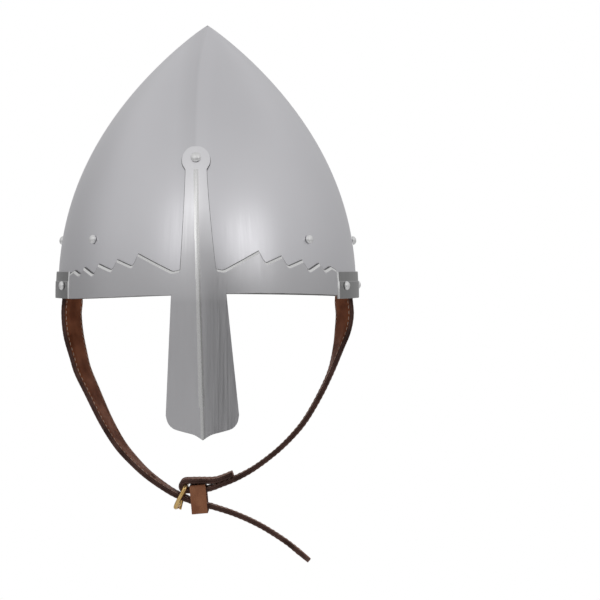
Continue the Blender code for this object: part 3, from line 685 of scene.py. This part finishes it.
# Rivets: round-headed steel rivets, polished, clenched over inside the skull; their steel is
# given a far brighter colour than the skull's, a painted highlight. One is modelled and copied
# round the skull, through the rear band, and a larger one through the bar's head.
RIVET_HEAD_RADIUS = 0.0031
RIVET_HEAD_HEIGHT = 0.0027
RIVET_SKIRT = 0.0003
RIVET_SHANK_RADIUS = 0.0014
RIVET_TAIL_RADIUS = 0.0024
RIVET_TAIL_HEIGHT = 0.0009
RIVET_TAIL_TAPER = 0.75
RIVET_TAIL_GAP = 0.0006
RIDGE_TAIL_GAP = 0.0011
BAR_RIVET_HEIGHT = 0.0944
BAR_RIVET_RADIUS = 0.0036
SKULL_RIVET_HEIGHT = 0.0404
SKULL_RIVET_ANGLES = (-136.0, -91.0, -45.4, 45.4, 91.0, 136.0, 180.0)
BAND_RIVET_HEIGHT = 0.0088
STRAP_RIVET_ANGLE = 91.0
BAND_RIVET_ANGLES = (-136.0, -99.0, -65.3, 65.3, 99.0, 136.0, 180.0)
STRAP_THICKNESS = 0.0034
STRAP_WALL_GAP = 0.0015

# Painted highlight: the rivet steel's colour is raised almost to white, standing in for the light the domes
# catch.
bright_rivet_steel = brushed_steel("rivet_steel_painted_highlight", (0.92, 0.92, 0.92), (0.98, 0.98, 0.98),
                               0.42, 0.50, 60.0, 60.0, 0.0)


def extrude_ring(down=0.0, grow=1.0):
    """Extrudes the selected open edge of a turned piece, down its axis or in and out."""
    bpy.ops.mesh.extrude_edges_move(TRANSFORM_OT_translate={"value": (0.0, 0.0, -down)})
    bpy.ops.transform.resize(value=(grow, grow, 1.0), center_override=(0.0, 0.0, 0.0))


def model_rivet(head_radius, grip):
    """A rivet on the Z axis with its head's seat at zero."""
    bpy.ops.object.select_all(action="DESELECT")
    bpy.ops.mesh.primitive_uv_sphere_add(segments=36, ring_count=20, radius=head_radius)
    rivet = bpy.context.object
    bpy.ops.object.mode_set(mode="EDIT")
    bpy.ops.mesh.select_all(action="SELECT")
    dome = (RIVET_HEAD_HEIGHT - RIVET_SKIRT) / head_radius
    bpy.ops.transform.resize(value=(1.0, 1.0, dome), center_override=(0.0, 0.0, 0.0))
    bpy.ops.mesh.bisect(plane_co=(0.0, 0.0, 0.0), plane_no=(0.0, 0.0, 1.0), clear_inner=True)
    extrude_ring(down=RIVET_SKIRT, grow=0.97)
    extrude_ring(grow=RIVET_SHANK_RADIUS / (0.97 * head_radius))
    extrude_ring(down=grip)
    extrude_ring(grow=RIVET_TAIL_RADIUS / RIVET_SHANK_RADIUS)
    extrude_ring(down=RIVET_TAIL_HEIGHT, grow=RIVET_TAIL_TAPER)
    bpy.ops.mesh.edge_face_add()
    bpy.ops.mesh.select_all(action="SELECT")
    bpy.ops.transform.translate(value=(0.0, 0.0, RIVET_SKIRT))
    bpy.ops.mesh.remove_doubles(threshold=0.000002)
    bpy.ops.mesh.normals_make_consistent(inside=False)
    bpy.ops.object.mode_set(mode="OBJECT")
    rivet.data.materials.append(bright_rivet_steel)
    smooth_shaded(rivet, 50.0)
    return rivet


def set_rivet(node, degrees, z, seat, tail, head_radius):
    """Drives a rivet in at its place, with its tail clenched at the tail's lift."""
    angle = math.radians(degrees)
    rivet = model_rivet(head_radius, seat - tail)
    turn = skull_normal(angle, z).to_track_quat("Z", "Y").to_matrix().to_4x4()
    rivet.data.transform(Matrix.Translation(lifted(angle, z, seat)) @ turn)
    rivet.name = node + "_domed"
    declared(rivet, node)


def wall_face(degrees):
    on_ridge = degrees in (0.0, 180.0)
    return -SHEET - (RIDGE_TAIL_GAP if on_ridge else RIVET_TAIL_GAP)


strap_face = -SHEET - STRAP_WALL_GAP - STRAP_THICKNESS - RIVET_TAIL_GAP
set_rivet("bar_rivet", 0.0, BAR_RIVET_HEIGHT, SEAT_GAP + SHEET + FIT_GAP, wall_face(0.0),
          BAR_RIVET_RADIUS)
for number, degrees in enumerate(SKULL_RIVET_ANGLES, 1):
    tail = strap_face if abs(degrees) == STRAP_RIVET_ANGLE else wall_face(degrees)
    set_rivet(f"skull_rivet_{number}", degrees, SKULL_RIVET_HEIGHT, FIT_GAP, tail,
              RIVET_HEAD_RADIUS)
for number, degrees in enumerate(BAND_RIVET_ANGLES, 1):
    set_rivet(f"band_rivet_{number}", degrees, BAND_RIVET_HEIGHT, REAR_LOWER_OUT + FIT_GAP,
              wall_face(degrees), RIVET_HEAD_RADIUS)


# Chin straps: two layers of dark brown leather, glued and stitched along both edges with pale
# waxed thread, their cut edges dyed almost black. Each is riveted inside the skull and hangs
# under its own weight; the long one is punched with holes and has a tapered tip.
STRAP_WIDTH = 0.0220
STRAP_SEATS = (0.0500, 0.0404, 0.0300)
CHIN_DEPTH = 0.0
RIGHT_STRAP_ANGLE = -91.0
STITCH_PITCH = 0.0037
STITCH_INSET = 0.0021
STITCH_LENGTH = 0.0026
THREAD_RADIUS = 0.00032
STATIONS_PER_STITCH = 4
ROUTE_STEPS = 12
SCALLOP = 0.00014
PUCKER = 0.00010
HOLE_RADIUS = 0.0021
HOLE_PLACES = (-0.0400, -0.0178, 0.0070, 0.0280, 0.0480)
# Route from the wall on the wearer's right to the tip of the free end
# columns: x, z, depth, turn of the face from the front view in degrees, share of full width
LONG_STRAP_ROUTE = (
    (-0.0993, 0.0200, 0.0020, 83.0, 1.0),
    (-0.0980, 0.0100, 0.0020, 72.0, 1.0),
    (-0.0962, -0.0010, 0.0020, 60.0, 1.0),
    (-0.0968, -0.0121, 0.0020, 60.0, 1.0),
    (-0.0954, -0.0265, 0.0020, 60.5, 1.0),
    (-0.0917, -0.0418, 0.0015, 65.0, 1.0),
    (-0.0888, -0.0521, 0.0015, 67.0, 1.0),
    (-0.0826, -0.0658, 0.0010, 70.5, 1.0),
    (-0.0726, -0.0873, 0.0010, 75.0, 1.0),
    (-0.0630, -0.1036, 0.0005, 79.0, 1.0),
    (-0.0538, -0.1148, 0.0005, 82.5, 1.0),
    (-0.0422, -0.1261, 0.0000, 86.0, 1.0),
    (-0.0269, -0.1371, 0.0000, 89.0, 1.0),
    (-0.0174, -0.1418, 0.0000, 90.0, 1.0),
    (-0.0073, -0.1457, 0.0000, 92.0, 1.0),
    (0.0039, -0.1487, 0.0000, 93.0, 1.0),
    (0.0202, -0.1541, 0.0000, 94.0, 1.0),
    (0.0373, -0.1620, 0.0000, 94.0, 1.0),
    (0.0543, -0.1726, 0.0000, 94.0, 1.0),
    (0.0650, -0.1810, 0.0000, 93.0, 1.0),
    (0.0692, -0.1845, 0.0000, 93.0, 0.84),
    (0.0721, -0.1869, 0.0000, 93.0, 0.42),
)


def leather_section(wide, thick, gather):
    """One round of a strap's outline: (across, through), with stitch furrows and a seam."""
    pull = gather * SCALLOP
    quarter = (
        (0.0, thick),
        (0.45 * wide, thick),
        (wide - STITCH_INSET - 0.0007, thick),
        (wide - STITCH_INSET, thick - 0.00015 - gather * PUCKER),
        (wide - STITCH_INSET + 0.0007, thick),
        (wide - 0.0007 - pull, thick - 0.00006),
        (wide - 0.0002 - pull, thick - 0.00035),
        (wide - pull, thick - 0.0009),
        (wide - pull, 0.00035),
        (wide - 0.00035 - pull, 0.0),
    )
    section = list(quarter)
    section += [(across, -through) for across, through in quarter[-2::-1]]
    section += [(-across, through) for across, through in section[-2:0:-1]]
    return section


def even_stations(route, spacing):
    """The route's rows at even spacing along it."""
    travelled = [0.0]
    for before, after in zip(route, route[1:]):
        travelled.append(travelled[-1] + (Vector(after[:3]) - Vector(before[:3])).length)
    count = round(travelled[-1] / spacing)
    stations = []
    lower = 0
    for number in range(count + 1):
        along = travelled[-1] * number / count
        while lower < len(route) - 2 and travelled[lower + 1] < along:
            lower += 1
        share = (along - travelled[lower]) / (travelled[lower + 1] - travelled[lower])
        stations.append(tuple(a + (b - a) * share for a, b in zip(route[lower], route[lower + 1])))
    return stations


def strap_frames(route):
    """Centre, tangent, width direction and thickness direction at each station of a strap."""
    centres = [Vector((x, depth, z)) for x, z, depth, _, _ in route]
    frames = []
    for number, (_, _, _, turn, share) in enumerate(route):
        before = centres[max(number - 1, 0)]
        after = centres[min(number + 1, len(centres) - 1)]
        tangent = (after - before).normalized()
        flat = tangent.cross(Vector((0.0, 1.0, 0.0))).normalized()
        deep = flat.cross(tangent)
        across = flat * math.cos(math.radians(turn)) + deep * math.sin(math.radians(turn))
        frames.append((centres[number], tangent, across, tangent.cross(across), share))
    return frames


def hanging_start(angle_degrees):
    """Rows of a strap's top end, flat against the inside of the skull."""
    angle = math.radians(angle_degrees)
    rows = []
    for z in STRAP_SEATS:
        point = lifted(angle, z, -(SHEET + STRAP_WALL_GAP + STRAP_THICKNESS / 2.0))
        normal = skull_normal(angle, z)
        turn = math.degrees(math.atan2(abs(normal.x), -normal.y * math.copysign(1.0, normal.x)))
        rows.append((point.x, z, point.y, turn, 1.0))
    return rows


# Leather: fine pebbled grain with creases across the strap, and slow changes of colour
leather_grain, entry, leave = node_group(
    "leather_grain", (("Place", "NodeSocketVector"), ("Pebbles", "NodeSocketFloat")),
    ("Relief", "Mottle"))
sized = vector_step(leather_grain, "SCALE", entry.outputs["Place"], entry.outputs["Pebbles"])
pebbles = leather_grain.nodes.new("ShaderNodeTexVoronoi")
pebbles.feature = "SMOOTH_F1"
pebbles.inputs["Scale"].default_value = 1.0
leather_grain.links.new(sized, pebbles.inputs["Vector"])
creases = noise(leather_grain, sized, 0.45, 4.0)
relief = leather_grain.nodes.new("ShaderNodeMath")
relief.operation = "MULTIPLY_ADD"
leather_grain.links.new(creases, relief.inputs[0])
relief.inputs[1].default_value = 0.9
leather_grain.links.new(pebbles.outputs["Distance"], relief.inputs[2])
leather_grain.links.new(relief.outputs["Value"], leave.inputs["Relief"])
leather_grain.links.new(noise(leather_grain, entry.outputs["Place"], 90.0, 5.0),
                        leave.inputs["Mottle"])


def tanned_leather(name, dark, light, smoothest, roughest, pebbles_per_metre, strength):
    material, tree, shader, place = new_material(name)
    grain = tree.nodes.new("ShaderNodeGroup")
    grain.node_tree = leather_grain
    grain.inputs["Pebbles"].default_value = pebbles_per_metre
    tree.links.new(place, grain.inputs["Place"])
    mottle = ranged(tree, grain.outputs["Mottle"], 0.0, 1.0, 0.35, 0.65)
    tree.links.new(blended(tree, mottle, dark, light), shader.inputs["Base Color"])
    tree.links.new(ranged(tree, mottle, roughest, smoothest), shader.inputs["Roughness"])
    shader.inputs["Specular IOR Level"].default_value = 0.12
    embossed(tree, shader, grain.outputs["Relief"], strength, 0.0002)
    return material


strap_leather = tanned_leather("strap_leather", (0.185, 0.052, 0.019), (0.330, 0.104, 0.042),
                               0.42, 0.58, 1400.0, 0.45)
dyed_edge = tanned_leather("dyed_strap_edge", (0.060, 0.031, 0.025), (0.120, 0.064, 0.052),
                           0.36, 0.52, 900.0, 0.60)
waxed_thread = tanned_leather("waxed_thread", (0.50, 0.38, 0.30), (0.72, 0.58, 0.48),
                              0.45, 0.60, 2600.0, 0.50)


def model_strap(name, route):
    """The leather itself: a tube of its outline along the route, capped at both ends."""
    stations = even_stations(route, STITCH_PITCH / STATIONS_PER_STITCH)
    rings = []
    for number, (centre, _, across, through, share) in enumerate(strap_frames(stations)):
        gather = 1.0 if number % STATIONS_PER_STITCH == 0 else 0.0
        section = leather_section(STRAP_WIDTH / 2.0 * share, STRAP_THICKNESS / 2.0, gather)
        rings.append([centre + across * w + through * t for w, t in section])
    count = len(rings[0])
    strap = grid_sheet(name, len(rings) - 1, count, lambda column, row: rings[column][row % count])
    close_tube(strap)
    strap.data.materials.append(strap_leather)
    strap.data.materials.append(dyed_edge)
    return strap, strap_frames(stations)


def dye_edges(strap, frames):
    """Gives the faces that look sideways out of the strap the dyed edge."""
    for face in strap.data.polygons:
        nearest = min(frames[::2], key=lambda frame: (frame[0] - face.center).length_squared)
        out = face.center - nearest[0]
        if abs(out.dot(nearest[2])) > STRAP_WIDTH / 2.0 * nearest[4] - 0.0008:
            face.material_index = 1


def punch(strap, cutter):
    apply_modifier(strap, "BOOLEAN", operation="DIFFERENCE", solver="EXACT", object=cutter)
    bpy.data.objects.remove(cutter, do_unlink=True)


def stitch_places(frames, blocked):
    """Where each stitch lies: along both edges of both faces, but for blocked stretches."""
    places = []
    first = STATIONS_PER_STITCH // 2
    for number in range(first, len(frames) - first, STATIONS_PER_STITCH):
        centre, tangent, across, through, share = frames[number]
        if blocked(centre) or share < 0.999:
            continue
        for side in (-1.0, 1.0):
            for face in (-1.0, 1.0):
                seat = centre + across * side * (STRAP_WIDTH / 2.0 - STITCH_INSET)
                seat += through * face * (STRAP_THICKNESS / 2.0 - 0.00008)
                basis = Matrix((tangent, across, through)).transposed().to_4x4()
                slant = Matrix.Rotation(math.radians(7.0) * side * face, 4, "Z")
                places.append(Matrix.Translation(seat) @ basis @ slant)
    return places


def sew(name, frames, blocked):
    """One stitch is modelled and copied along the strap."""
    bpy.ops.object.select_all(action="DESELECT")
    bpy.ops.mesh.primitive_uv_sphere_add(segments=8, ring_count=6, radius=1.0)
    stitch = bpy.context.object
    stitch.data.transform(Matrix.Diagonal((THREAD_RADIUS, THREAD_RADIUS, STITCH_LENGTH / 2.0, 1.0)))
    stitch.data.transform(Matrix.Rotation(math.radians(90.0), 4, "Y"))
    corners = [corner.co.copy() for corner in stitch.data.vertices]
    faces = [tuple(face.vertices) for face in stitch.data.polygons]
    seams_points, seams_faces = [], []
    for place in stitch_places(frames, blocked):
        start = len(seams_points)
        seams_points += [place @ corner for corner in corners]
        seams_faces += [tuple(start + corner for corner in face) for face in faces]
    bpy.data.objects.remove(stitch, do_unlink=True)
    mesh = bpy.data.meshes.new(name)
    mesh.from_pydata(seams_points, [], seams_faces)
    mesh.shade_smooth()
    seams = bpy.data.objects.new(name, mesh)
    bpy.context.scene.collection.objects.link(seams)
    mesh.materials.append(waxed_thread)
    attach(seams, "root")
    return seams


long_route = smooth_route(hanging_start(RIGHT_STRAP_ANGLE) + list(LONG_STRAP_ROUTE), ROUTE_STEPS)
long_strap, long_frames = model_strap("long_strap_leather", long_route)
dye_edges(long_strap, long_frames)
for place in HOLE_PLACES:
    centre, _, _, through, _ = min(long_frames, key=lambda frame: abs(frame[0].x - place))
    bpy.ops.object.select_all(action="DESELECT")
    bpy.ops.mesh.primitive_cylinder_add(
        vertices=28, radius=HOLE_RADIUS, depth=3.0 * STRAP_THICKNESS, location=centre,
        rotation=through.to_track_quat("Z", "Y").to_euler())
    bpy.context.object.data.materials.append(dyed_edge)
    punch(long_strap, bpy.context.object)
smooth_shaded(long_strap, 40.0)
declared(long_strap, "chin_strap_long")
sew("long_strap_stitches", long_frames, lambda centre: False)


# Short strap: the same leather from the wearer's left, folded round the buckle's bar with its
# tail turned back on top; the fold has a slot for the buckle's tongue.
LEFT_STRAP_ANGLE = 91.0
RING_WIRE = 0.0014
RING_BAR_X = -0.0152
RING_BAR_Z = -0.1334
FOLD_TURNS = 24
SLOT_WIDTH = 0.0026
SLOT_LEFT = 0.0076
SLOT_RIGHT = 0.0011
SLOT_HALF_HEIGHT = 0.0075
# Columns as for the long strap
SHORT_STRAP_ROUTE = (
    (0.0993, 0.0200, 0.0020, 97.0, 1.0),
    (0.0980, 0.0100, 0.0020, 108.0, 1.0),
    (0.0967, -0.0010, 0.0020, 118.0, 1.0),
    (0.0974, -0.0124, 0.0020, 118.5, 1.0),
    (0.0959, -0.0241, 0.0020, 113.5, 1.0),
    (0.0931, -0.0351, 0.0015, 103.0, 1.0),
    (0.0877, -0.0522, 0.0010, 93.0, 1.0),
    (0.0797, -0.0694, 0.0005, 91.0, 1.0),
    (0.0698, -0.0864, 0.0000, 90.0, 1.0),
    (0.0606, -0.0979, 0.0000, 89.0, 1.0),
    (0.0488, -0.1094, 0.0000, 88.0, 1.0),
    (0.0336, -0.1209, 0.0000, 88.0, 1.0),
    (0.0206, -0.1281, 0.0000, 89.0, 1.0),
    (0.0094, -0.1325, 0.0000, 90.0, 1.0),
    (0.0027, -0.1350, 0.0000, 90.0, 1.0),
    (-0.0050, -0.1367, 0.0000, 90.0, 1.0),
)
FOLD_TAIL_ROUTE = (
    (-0.0058, -0.1299, 0.0000, 90.0, 1.0),
    (0.0044, -0.1298, 0.0000, 90.0, 1.0),
    (0.0111, -0.1279, 0.0000, 90.0, 1.0),
    (0.0178, -0.1251, 0.0000, 90.0, 1.0),
)
fold_radius = RING_WIRE + FIT_GAP + STRAP_THICKNESS / 2.0
short_route = smooth_route(hanging_start(LEFT_STRAP_ANGLE) + list(SHORT_STRAP_ROUTE), ROUTE_STEPS)
for number in range(FOLD_TURNS + 1):
    angle = math.radians(-90.0 - 180.0 * number / FOLD_TURNS)
    x = RING_BAR_X + fold_radius * math.cos(angle)
    z = RING_BAR_Z + fold_radius * math.sin(angle)
    short_route.append((x, z, CHIN_DEPTH, 90.0, 1.0))
short_route += smooth_route(FOLD_TAIL_ROUTE, ROUTE_STEPS)

short_strap, short_frames = model_strap("short_strap_leather", short_route)
dye_edges(short_strap, short_frames)
bpy.ops.object.select_all(action="DESELECT")
bpy.ops.mesh.primitive_cube_add(
    size=1.0, location=(RING_BAR_X + (SLOT_RIGHT - SLOT_LEFT) / 2.0, CHIN_DEPTH, RING_BAR_Z),
    scale=(SLOT_LEFT + SLOT_RIGHT, SLOT_WIDTH, 2.0 * SLOT_HALF_HEIGHT))
bpy.context.object.data.materials.append(dyed_edge)
punch(short_strap, bpy.context.object)
smooth_shaded(short_strap, 40.0)
declared(short_strap, "chin_strap_short")
fold_centre = Vector((RING_BAR_X, CHIN_DEPTH, RING_BAR_Z))
sew("short_strap_stitches", short_frames, lambda centre: (centre - fold_centre).length < 0.006)


# Keeper: a loop of thinner, lighter leather round the short strap and the free end, its raw
# edges left natural.
KEEPER_LEATHER = 0.0015
KEEPER_LENGTH = 0.0113
KEEPER_HEIGHT = 0.0204
KEEPER_TOP = -0.1324
KEEPER_X = -0.0060
KEEPER_TILT = math.radians(5.0)
KEEPER_SIDE_GAP = 0.0004
KEEPER_CORNER = 0.0022

keeper_across = STRAP_WIDTH + 2.0 * (KEEPER_SIDE_GAP + KEEPER_LEATHER)
bpy.ops.object.select_all(action="DESELECT")
bpy.ops.mesh.primitive_cube_add(size=1.0, scale=(KEEPER_LENGTH, keeper_across, KEEPER_HEIGHT))
keeper = bpy.context.object
keeper.name = "keeper_loop"
bpy.ops.object.transform_apply(location=False, rotation=False, scale=True)
bpy.ops.object.mode_set(mode="EDIT")
bpy.ops.mesh.select_mode(type="FACE")
bpy.ops.mesh.select_all(action="DESELECT")
bpy.ops.object.mode_set(mode="OBJECT")
for face in keeper.data.polygons:
    face.select = abs(face.normal.x) > 0.9
bpy.ops.object.mode_set(mode="EDIT")
bpy.ops.mesh.delete(type="ONLY_FACE")
bpy.ops.mesh.select_mode(type="EDGE")
bpy.ops.mesh.select_all(action="DESELECT")
bpy.ops.object.mode_set(mode="OBJECT")
for edge in keeper.data.edges:
    start, end = (keeper.data.vertices[corner].co for corner in edge.vertices)
    edge.select = abs(end.x - start.x) > KEEPER_LENGTH / 2.0
bpy.ops.object.mode_set(mode="EDIT")
bpy.ops.mesh.bevel(offset=KEEPER_CORNER, segments=6)
bpy.ops.mesh.select_all(action="SELECT")
bpy.ops.mesh.subdivide(number_cuts=3)
bpy.ops.object.mode_set(mode="OBJECT")
keeper_leather = tanned_leather("keeper_leather", (0.27, 0.105, 0.054), (0.40, 0.175, 0.092),
                                0.44, 0.60, 1100.0, 0.35)
keeper_edge = tanned_leather("keeper_raw_edge", (0.10, 0.040, 0.024), (0.20, 0.095, 0.060),
                             0.55, 0.70, 1600.0, 0.50)
keeper.data.materials.append(keeper_leather)
keeper.data.materials.append(keeper_edge)
apply_modifier(keeper, "SOLIDIFY", thickness=KEEPER_LEATHER, offset=-1.0, use_even_offset=True,
               material_offset_rim=1)
apply_modifier(keeper, "BEVEL", width=0.00035, segments=3, limit_method="ANGLE",
               angle_limit=math.radians(60.0))
keeper.data.transform(
    Matrix.Translation((KEEPER_X, CHIN_DEPTH, KEEPER_TOP - KEEPER_HEIGHT / 2.0))
    @ Matrix.Rotation(-KEEPER_TILT, 4, "Y"))
smooth_shaded(keeper, 40.0)
declared(keeper, "keeper")


# Buckle: a ring of brass wire, square at the bar that the short strap folds round and rounded
# at its foot, with a brass tongue curled round the bar and through the long strap's hole.
RING_DROP = 0.0168
RING_HALF_WIDTH = 0.0140
RING_TOP_CORNER = 0.0026
RING_FOOT_CORNER = 0.0070
RING_SLANT = math.radians(22.5)
RING_SKEW = 0.11
TONGUE_WIRE = 0.0008
TONGUE_OVERHANG = 0.0008
TONGUE_KNEE_DOWN = 0.35 * RING_DROP
TONGUE_KNEE_OUT = 0.22
TONGUE_CURL_START = 110.0
TONGUE_CURL_END = 262.0
TONGUE_CURL_STEPS = 18
WIRE_ROUNDING = 6

brass, tree, shader, place = new_material("buckle_brass")
patina = ranged(tree, noise(tree, place, 260.0, 4.0), 0.0, 1.0, 0.35, 0.65)
tree.links.new(blended(tree, patina, (0.98, 0.70, 0.31), (0.72, 0.44, 0.14)),
               shader.inputs["Base Color"])
tree.links.new(ranged(tree, patina, 0.14, 0.28), shader.inputs["Roughness"])
shader.inputs["Metallic"].default_value = 1.0
embossed(tree, shader, noise(tree, place, 1400.0, 3.0), 0.12, 0.0002)


def ring_place(across, down, out=0.0):
    """World place from coordinates on the buckle, measured from the middle of its bar; the ring
    is sprung a little out of flat towards its foot."""
    slant = Vector((-math.sin(RING_SLANT), 0.0, -math.cos(RING_SLANT)))
    square = Vector((math.cos(RING_SLANT), 0.0, -math.sin(RING_SLANT)))
    origin = Vector((RING_BAR_X, CHIN_DEPTH, RING_BAR_Z))
    lean = out + RING_SKEW * across * down / RING_DROP
    return origin + slant * down + square * lean + Vector((0.0, across, 0.0))


def drawn_wire(name, points, radius, cyclic):
    """Round wire bent along the points, as a mesh."""
    curve = bpy.data.curves.new(name, "CURVE")
    curve.dimensions = "3D"
    curve.bevel_depth = radius
    curve.bevel_resolution = WIRE_ROUNDING
    curve.use_fill_caps = True
    spline = curve.splines.new("POLY")
    spline.points.add(len(points) - 1)
    for knot, point in zip(spline.points, points):
        knot.co = (*point, 1.0)
    spline.use_cyclic_u = cyclic
    spline.use_smooth = True
    bent = bpy.data.objects.new(name, curve)
    bpy.context.scene.collection.objects.link(bent)
    bpy.ops.object.select_all(action="DESELECT")
    bent.select_set(True)
    bpy.context.view_layer.objects.active = bent
    bpy.ops.object.convert(target="MESH")
    bent = bpy.context.object
    bent.data.materials.append(brass)
    smooth_shaded(bent, 50.0)
    return bent


ring_corners = (
    (RING_HALF_WIDTH, RING_DROP, RING_FOOT_CORNER, 0.0),
    (-RING_HALF_WIDTH, RING_DROP, RING_FOOT_CORNER, 90.0),
    (-RING_HALF_WIDTH, 0.0, RING_TOP_CORNER, 180.0),
    (RING_HALF_WIDTH, 0.0, RING_TOP_CORNER, 270.0),
)
ring_points = []
for across, down, radius, start in ring_corners:
    centre_across = across - math.copysign(radius, across)
    centre_down = down - radius if down else radius
    for step in range(13):
        turn = math.radians(start + 90.0 * step / 12)
        ring_points.append(ring_place(centre_across + radius * math.cos(turn),
                                      centre_down + radius * math.sin(turn)))
ring = drawn_wire("buckle_ring_wire", ring_points, RING_WIRE, True)
declared(ring, "buckle_ring")

tongue_reach = RING_WIRE + FIT_GAP + TONGUE_WIRE
tongue_points = []
for step in range(TONGUE_CURL_STEPS + 1):
    share = step / TONGUE_CURL_STEPS
    turn = math.radians(TONGUE_CURL_START + (TONGUE_CURL_END - TONGUE_CURL_START) * share)
    tongue_points.append(Vector((RING_BAR_X + tongue_reach * math.cos(turn), CHIN_DEPTH,
                                 RING_BAR_Z + tongue_reach * math.sin(turn))))
tongue_points.append(ring_place(0.0, TONGUE_KNEE_DOWN, TONGUE_KNEE_OUT * tongue_reach))
tongue_points.append(ring_place(0.0, RING_DROP, tongue_reach))
tongue_points.append(ring_place(0.0, RING_DROP + TONGUE_OVERHANG, tongue_reach))
tongue = drawn_wire("buckle_tongue_wire", tongue_points, TONGUE_WIRE, False)
declared(tongue, "buckle_tongue")


# Studio: white surroundings that dim below eye level and beside the camera, a pale floor well
# below the helmet, and a soft light on either side of the camera, which stands at brow level.
FLOOR_DROP = -0.45
FLOOR_RADIUS = 1.5
# Brightness of the surroundings from straight down to straight up
WALL_TONES = (
    (0.0, 0.22),
    (0.36, 0.24),
    (0.46, 0.34),
    (0.50, 0.46),
    (0.57, 0.515),
    (0.66, 0.585),
    (0.77, 0.60),
    (0.85, 0.637),
    (0.92, 0.585),
    (1.0, 0.57),
)
# Dimmer sides of the studio: direction, share of the brightness left, and how far each reaches,
# as the cosines of the angles where it fades out and where it is full
DARK_SIDES = (
    ((0.50, -0.865, -0.04), 0.22, 0.895, 0.98),
    ((-0.80, 0.60, 0.02), 0.78, 0.80, 0.96),
    ((0.80, 0.60, 0.02), 0.92, 0.80, 0.96),
)
CAMERA_PLACE = (0.0656, -1.8, 0.024)
CAMERA_TILT = math.radians(90.0 - 0.82)
CAMERA_LENS = 152.1

bpy.ops.object.select_all(action="DESELECT")
bpy.ops.mesh.primitive_circle_add(vertices=96, radius=FLOOR_RADIUS, fill_type="NGON",
                                  location=(0.0, 0.0, FLOOR_DROP))
floor = bpy.context.object
floor.name = "studio_floor"
paper, tree, shader, place = new_material("pale_paper")
tree.links.new(blended(tree, noise(tree, place, 3.0, 2.0), (0.84, 0.84, 0.84), (0.88, 0.88, 0.88)),
               shader.inputs["Base Color"])
shader.inputs["Roughness"].default_value = 0.8
floor.data.materials.append(paper)

world = bpy.data.worlds.new("white_studio")
bpy.context.scene.world = world
world.use_nodes = True
tree = world.node_tree
surround = tree.nodes["Background"]
direction = tree.nodes.new("ShaderNodeTexCoord").outputs["Generated"]
split = tree.nodes.new("ShaderNodeSeparateXYZ")
tree.links.new(direction, split.inputs["Vector"])
height_tones = tree.nodes.new("ShaderNodeValToRGB")
ramp = height_tones.color_ramp
ramp.elements[0].position = 0.0
ramp.elements[1].position = 1.0
for position, tone in WALL_TONES[1:-1]:
    ramp.elements.new(position)
for element, (_, tone) in zip(ramp.elements, WALL_TONES):
    element.color = (tone, tone, tone, 1.0)
tree.links.new(ranged(tree, split.outputs["Z"], 0.0, 1.0, -1.0, 1.0), height_tones.inputs["Fac"])
strength = None
for aim, share, start, end in DARK_SIDES:
    towards = tree.nodes.new("ShaderNodeVectorMath")
    towards.operation = "DOT_PRODUCT"
    towards.inputs[1].default_value = aim
    tree.links.new(direction, towards.inputs[0])
    shade = ranged(tree, towards.outputs["Value"], 1.0, share, start, end)
    if strength:
        both = tree.nodes.new("ShaderNodeMath")
        both.operation = "MULTIPLY"
        tree.links.new(strength, both.inputs[0])
        tree.links.new(shade, both.inputs[1])
        shade = both.outputs["Value"]
    strength = shade
tree.links.new(strength, surround.inputs["Strength"])
tree.links.new(height_tones.outputs["Color"], surround.inputs["Color"])
backdrop = tree.nodes.new("ShaderNodeBackground")
backdrop.inputs["Color"].default_value = (1.0, 1.0, 1.0, 1.0)
seen = tree.nodes.new("ShaderNodeLightPath").outputs["Is Camera Ray"]
choice = tree.nodes.new("ShaderNodeMixShader")
tree.links.new(seen, choice.inputs["Fac"])
tree.links.new(surround.outputs["Background"], choice.inputs[1])
tree.links.new(backdrop.outputs["Background"], choice.inputs[2])
tree.links.new(choice.outputs["Shader"], tree.nodes["World Output"].inputs["Surface"])


def soft_light(name, azimuth, elevation, distance, size, power):
    """A square light aimed at the helmet; azimuth is from the camera's side towards the right."""
    turn, rise = math.radians(azimuth), math.radians(elevation)
    away = Vector((math.sin(turn) * math.cos(rise), -math.cos(turn) * math.cos(rise),
                   math.sin(rise)))
    lamp = bpy.data.lights.new(name, "AREA")
    lamp.size = size
    lamp.energy = power
    light = bpy.data.objects.new(name, lamp)
    light.location = away * distance
    light.rotation_euler = away.to_track_quat("Z", "Y").to_euler()
    bpy.context.scene.collection.objects.link(light)


soft_light("right_light", 42.0, 20.0, 2.2, 1.0, 2.3)
soft_light("left_light", -30.0, 27.0, 2.2, 0.9, 1.3)
soft_light("upper_light", -6.0, 42.0, 2.2, 0.7, 0.6)

camera = bpy.data.objects.new("photo_camera", bpy.data.cameras.new("photo_camera"))
camera.data.lens = CAMERA_LENS
camera.location = CAMERA_PLACE
camera.rotation_euler = (CAMERA_TILT, 0.0, 0.0)
bpy.context.scene.collection.objects.link(camera)
bpy.context.scene.camera = camera
bpy.context.scene.view_settings.view_transform = "Standard"
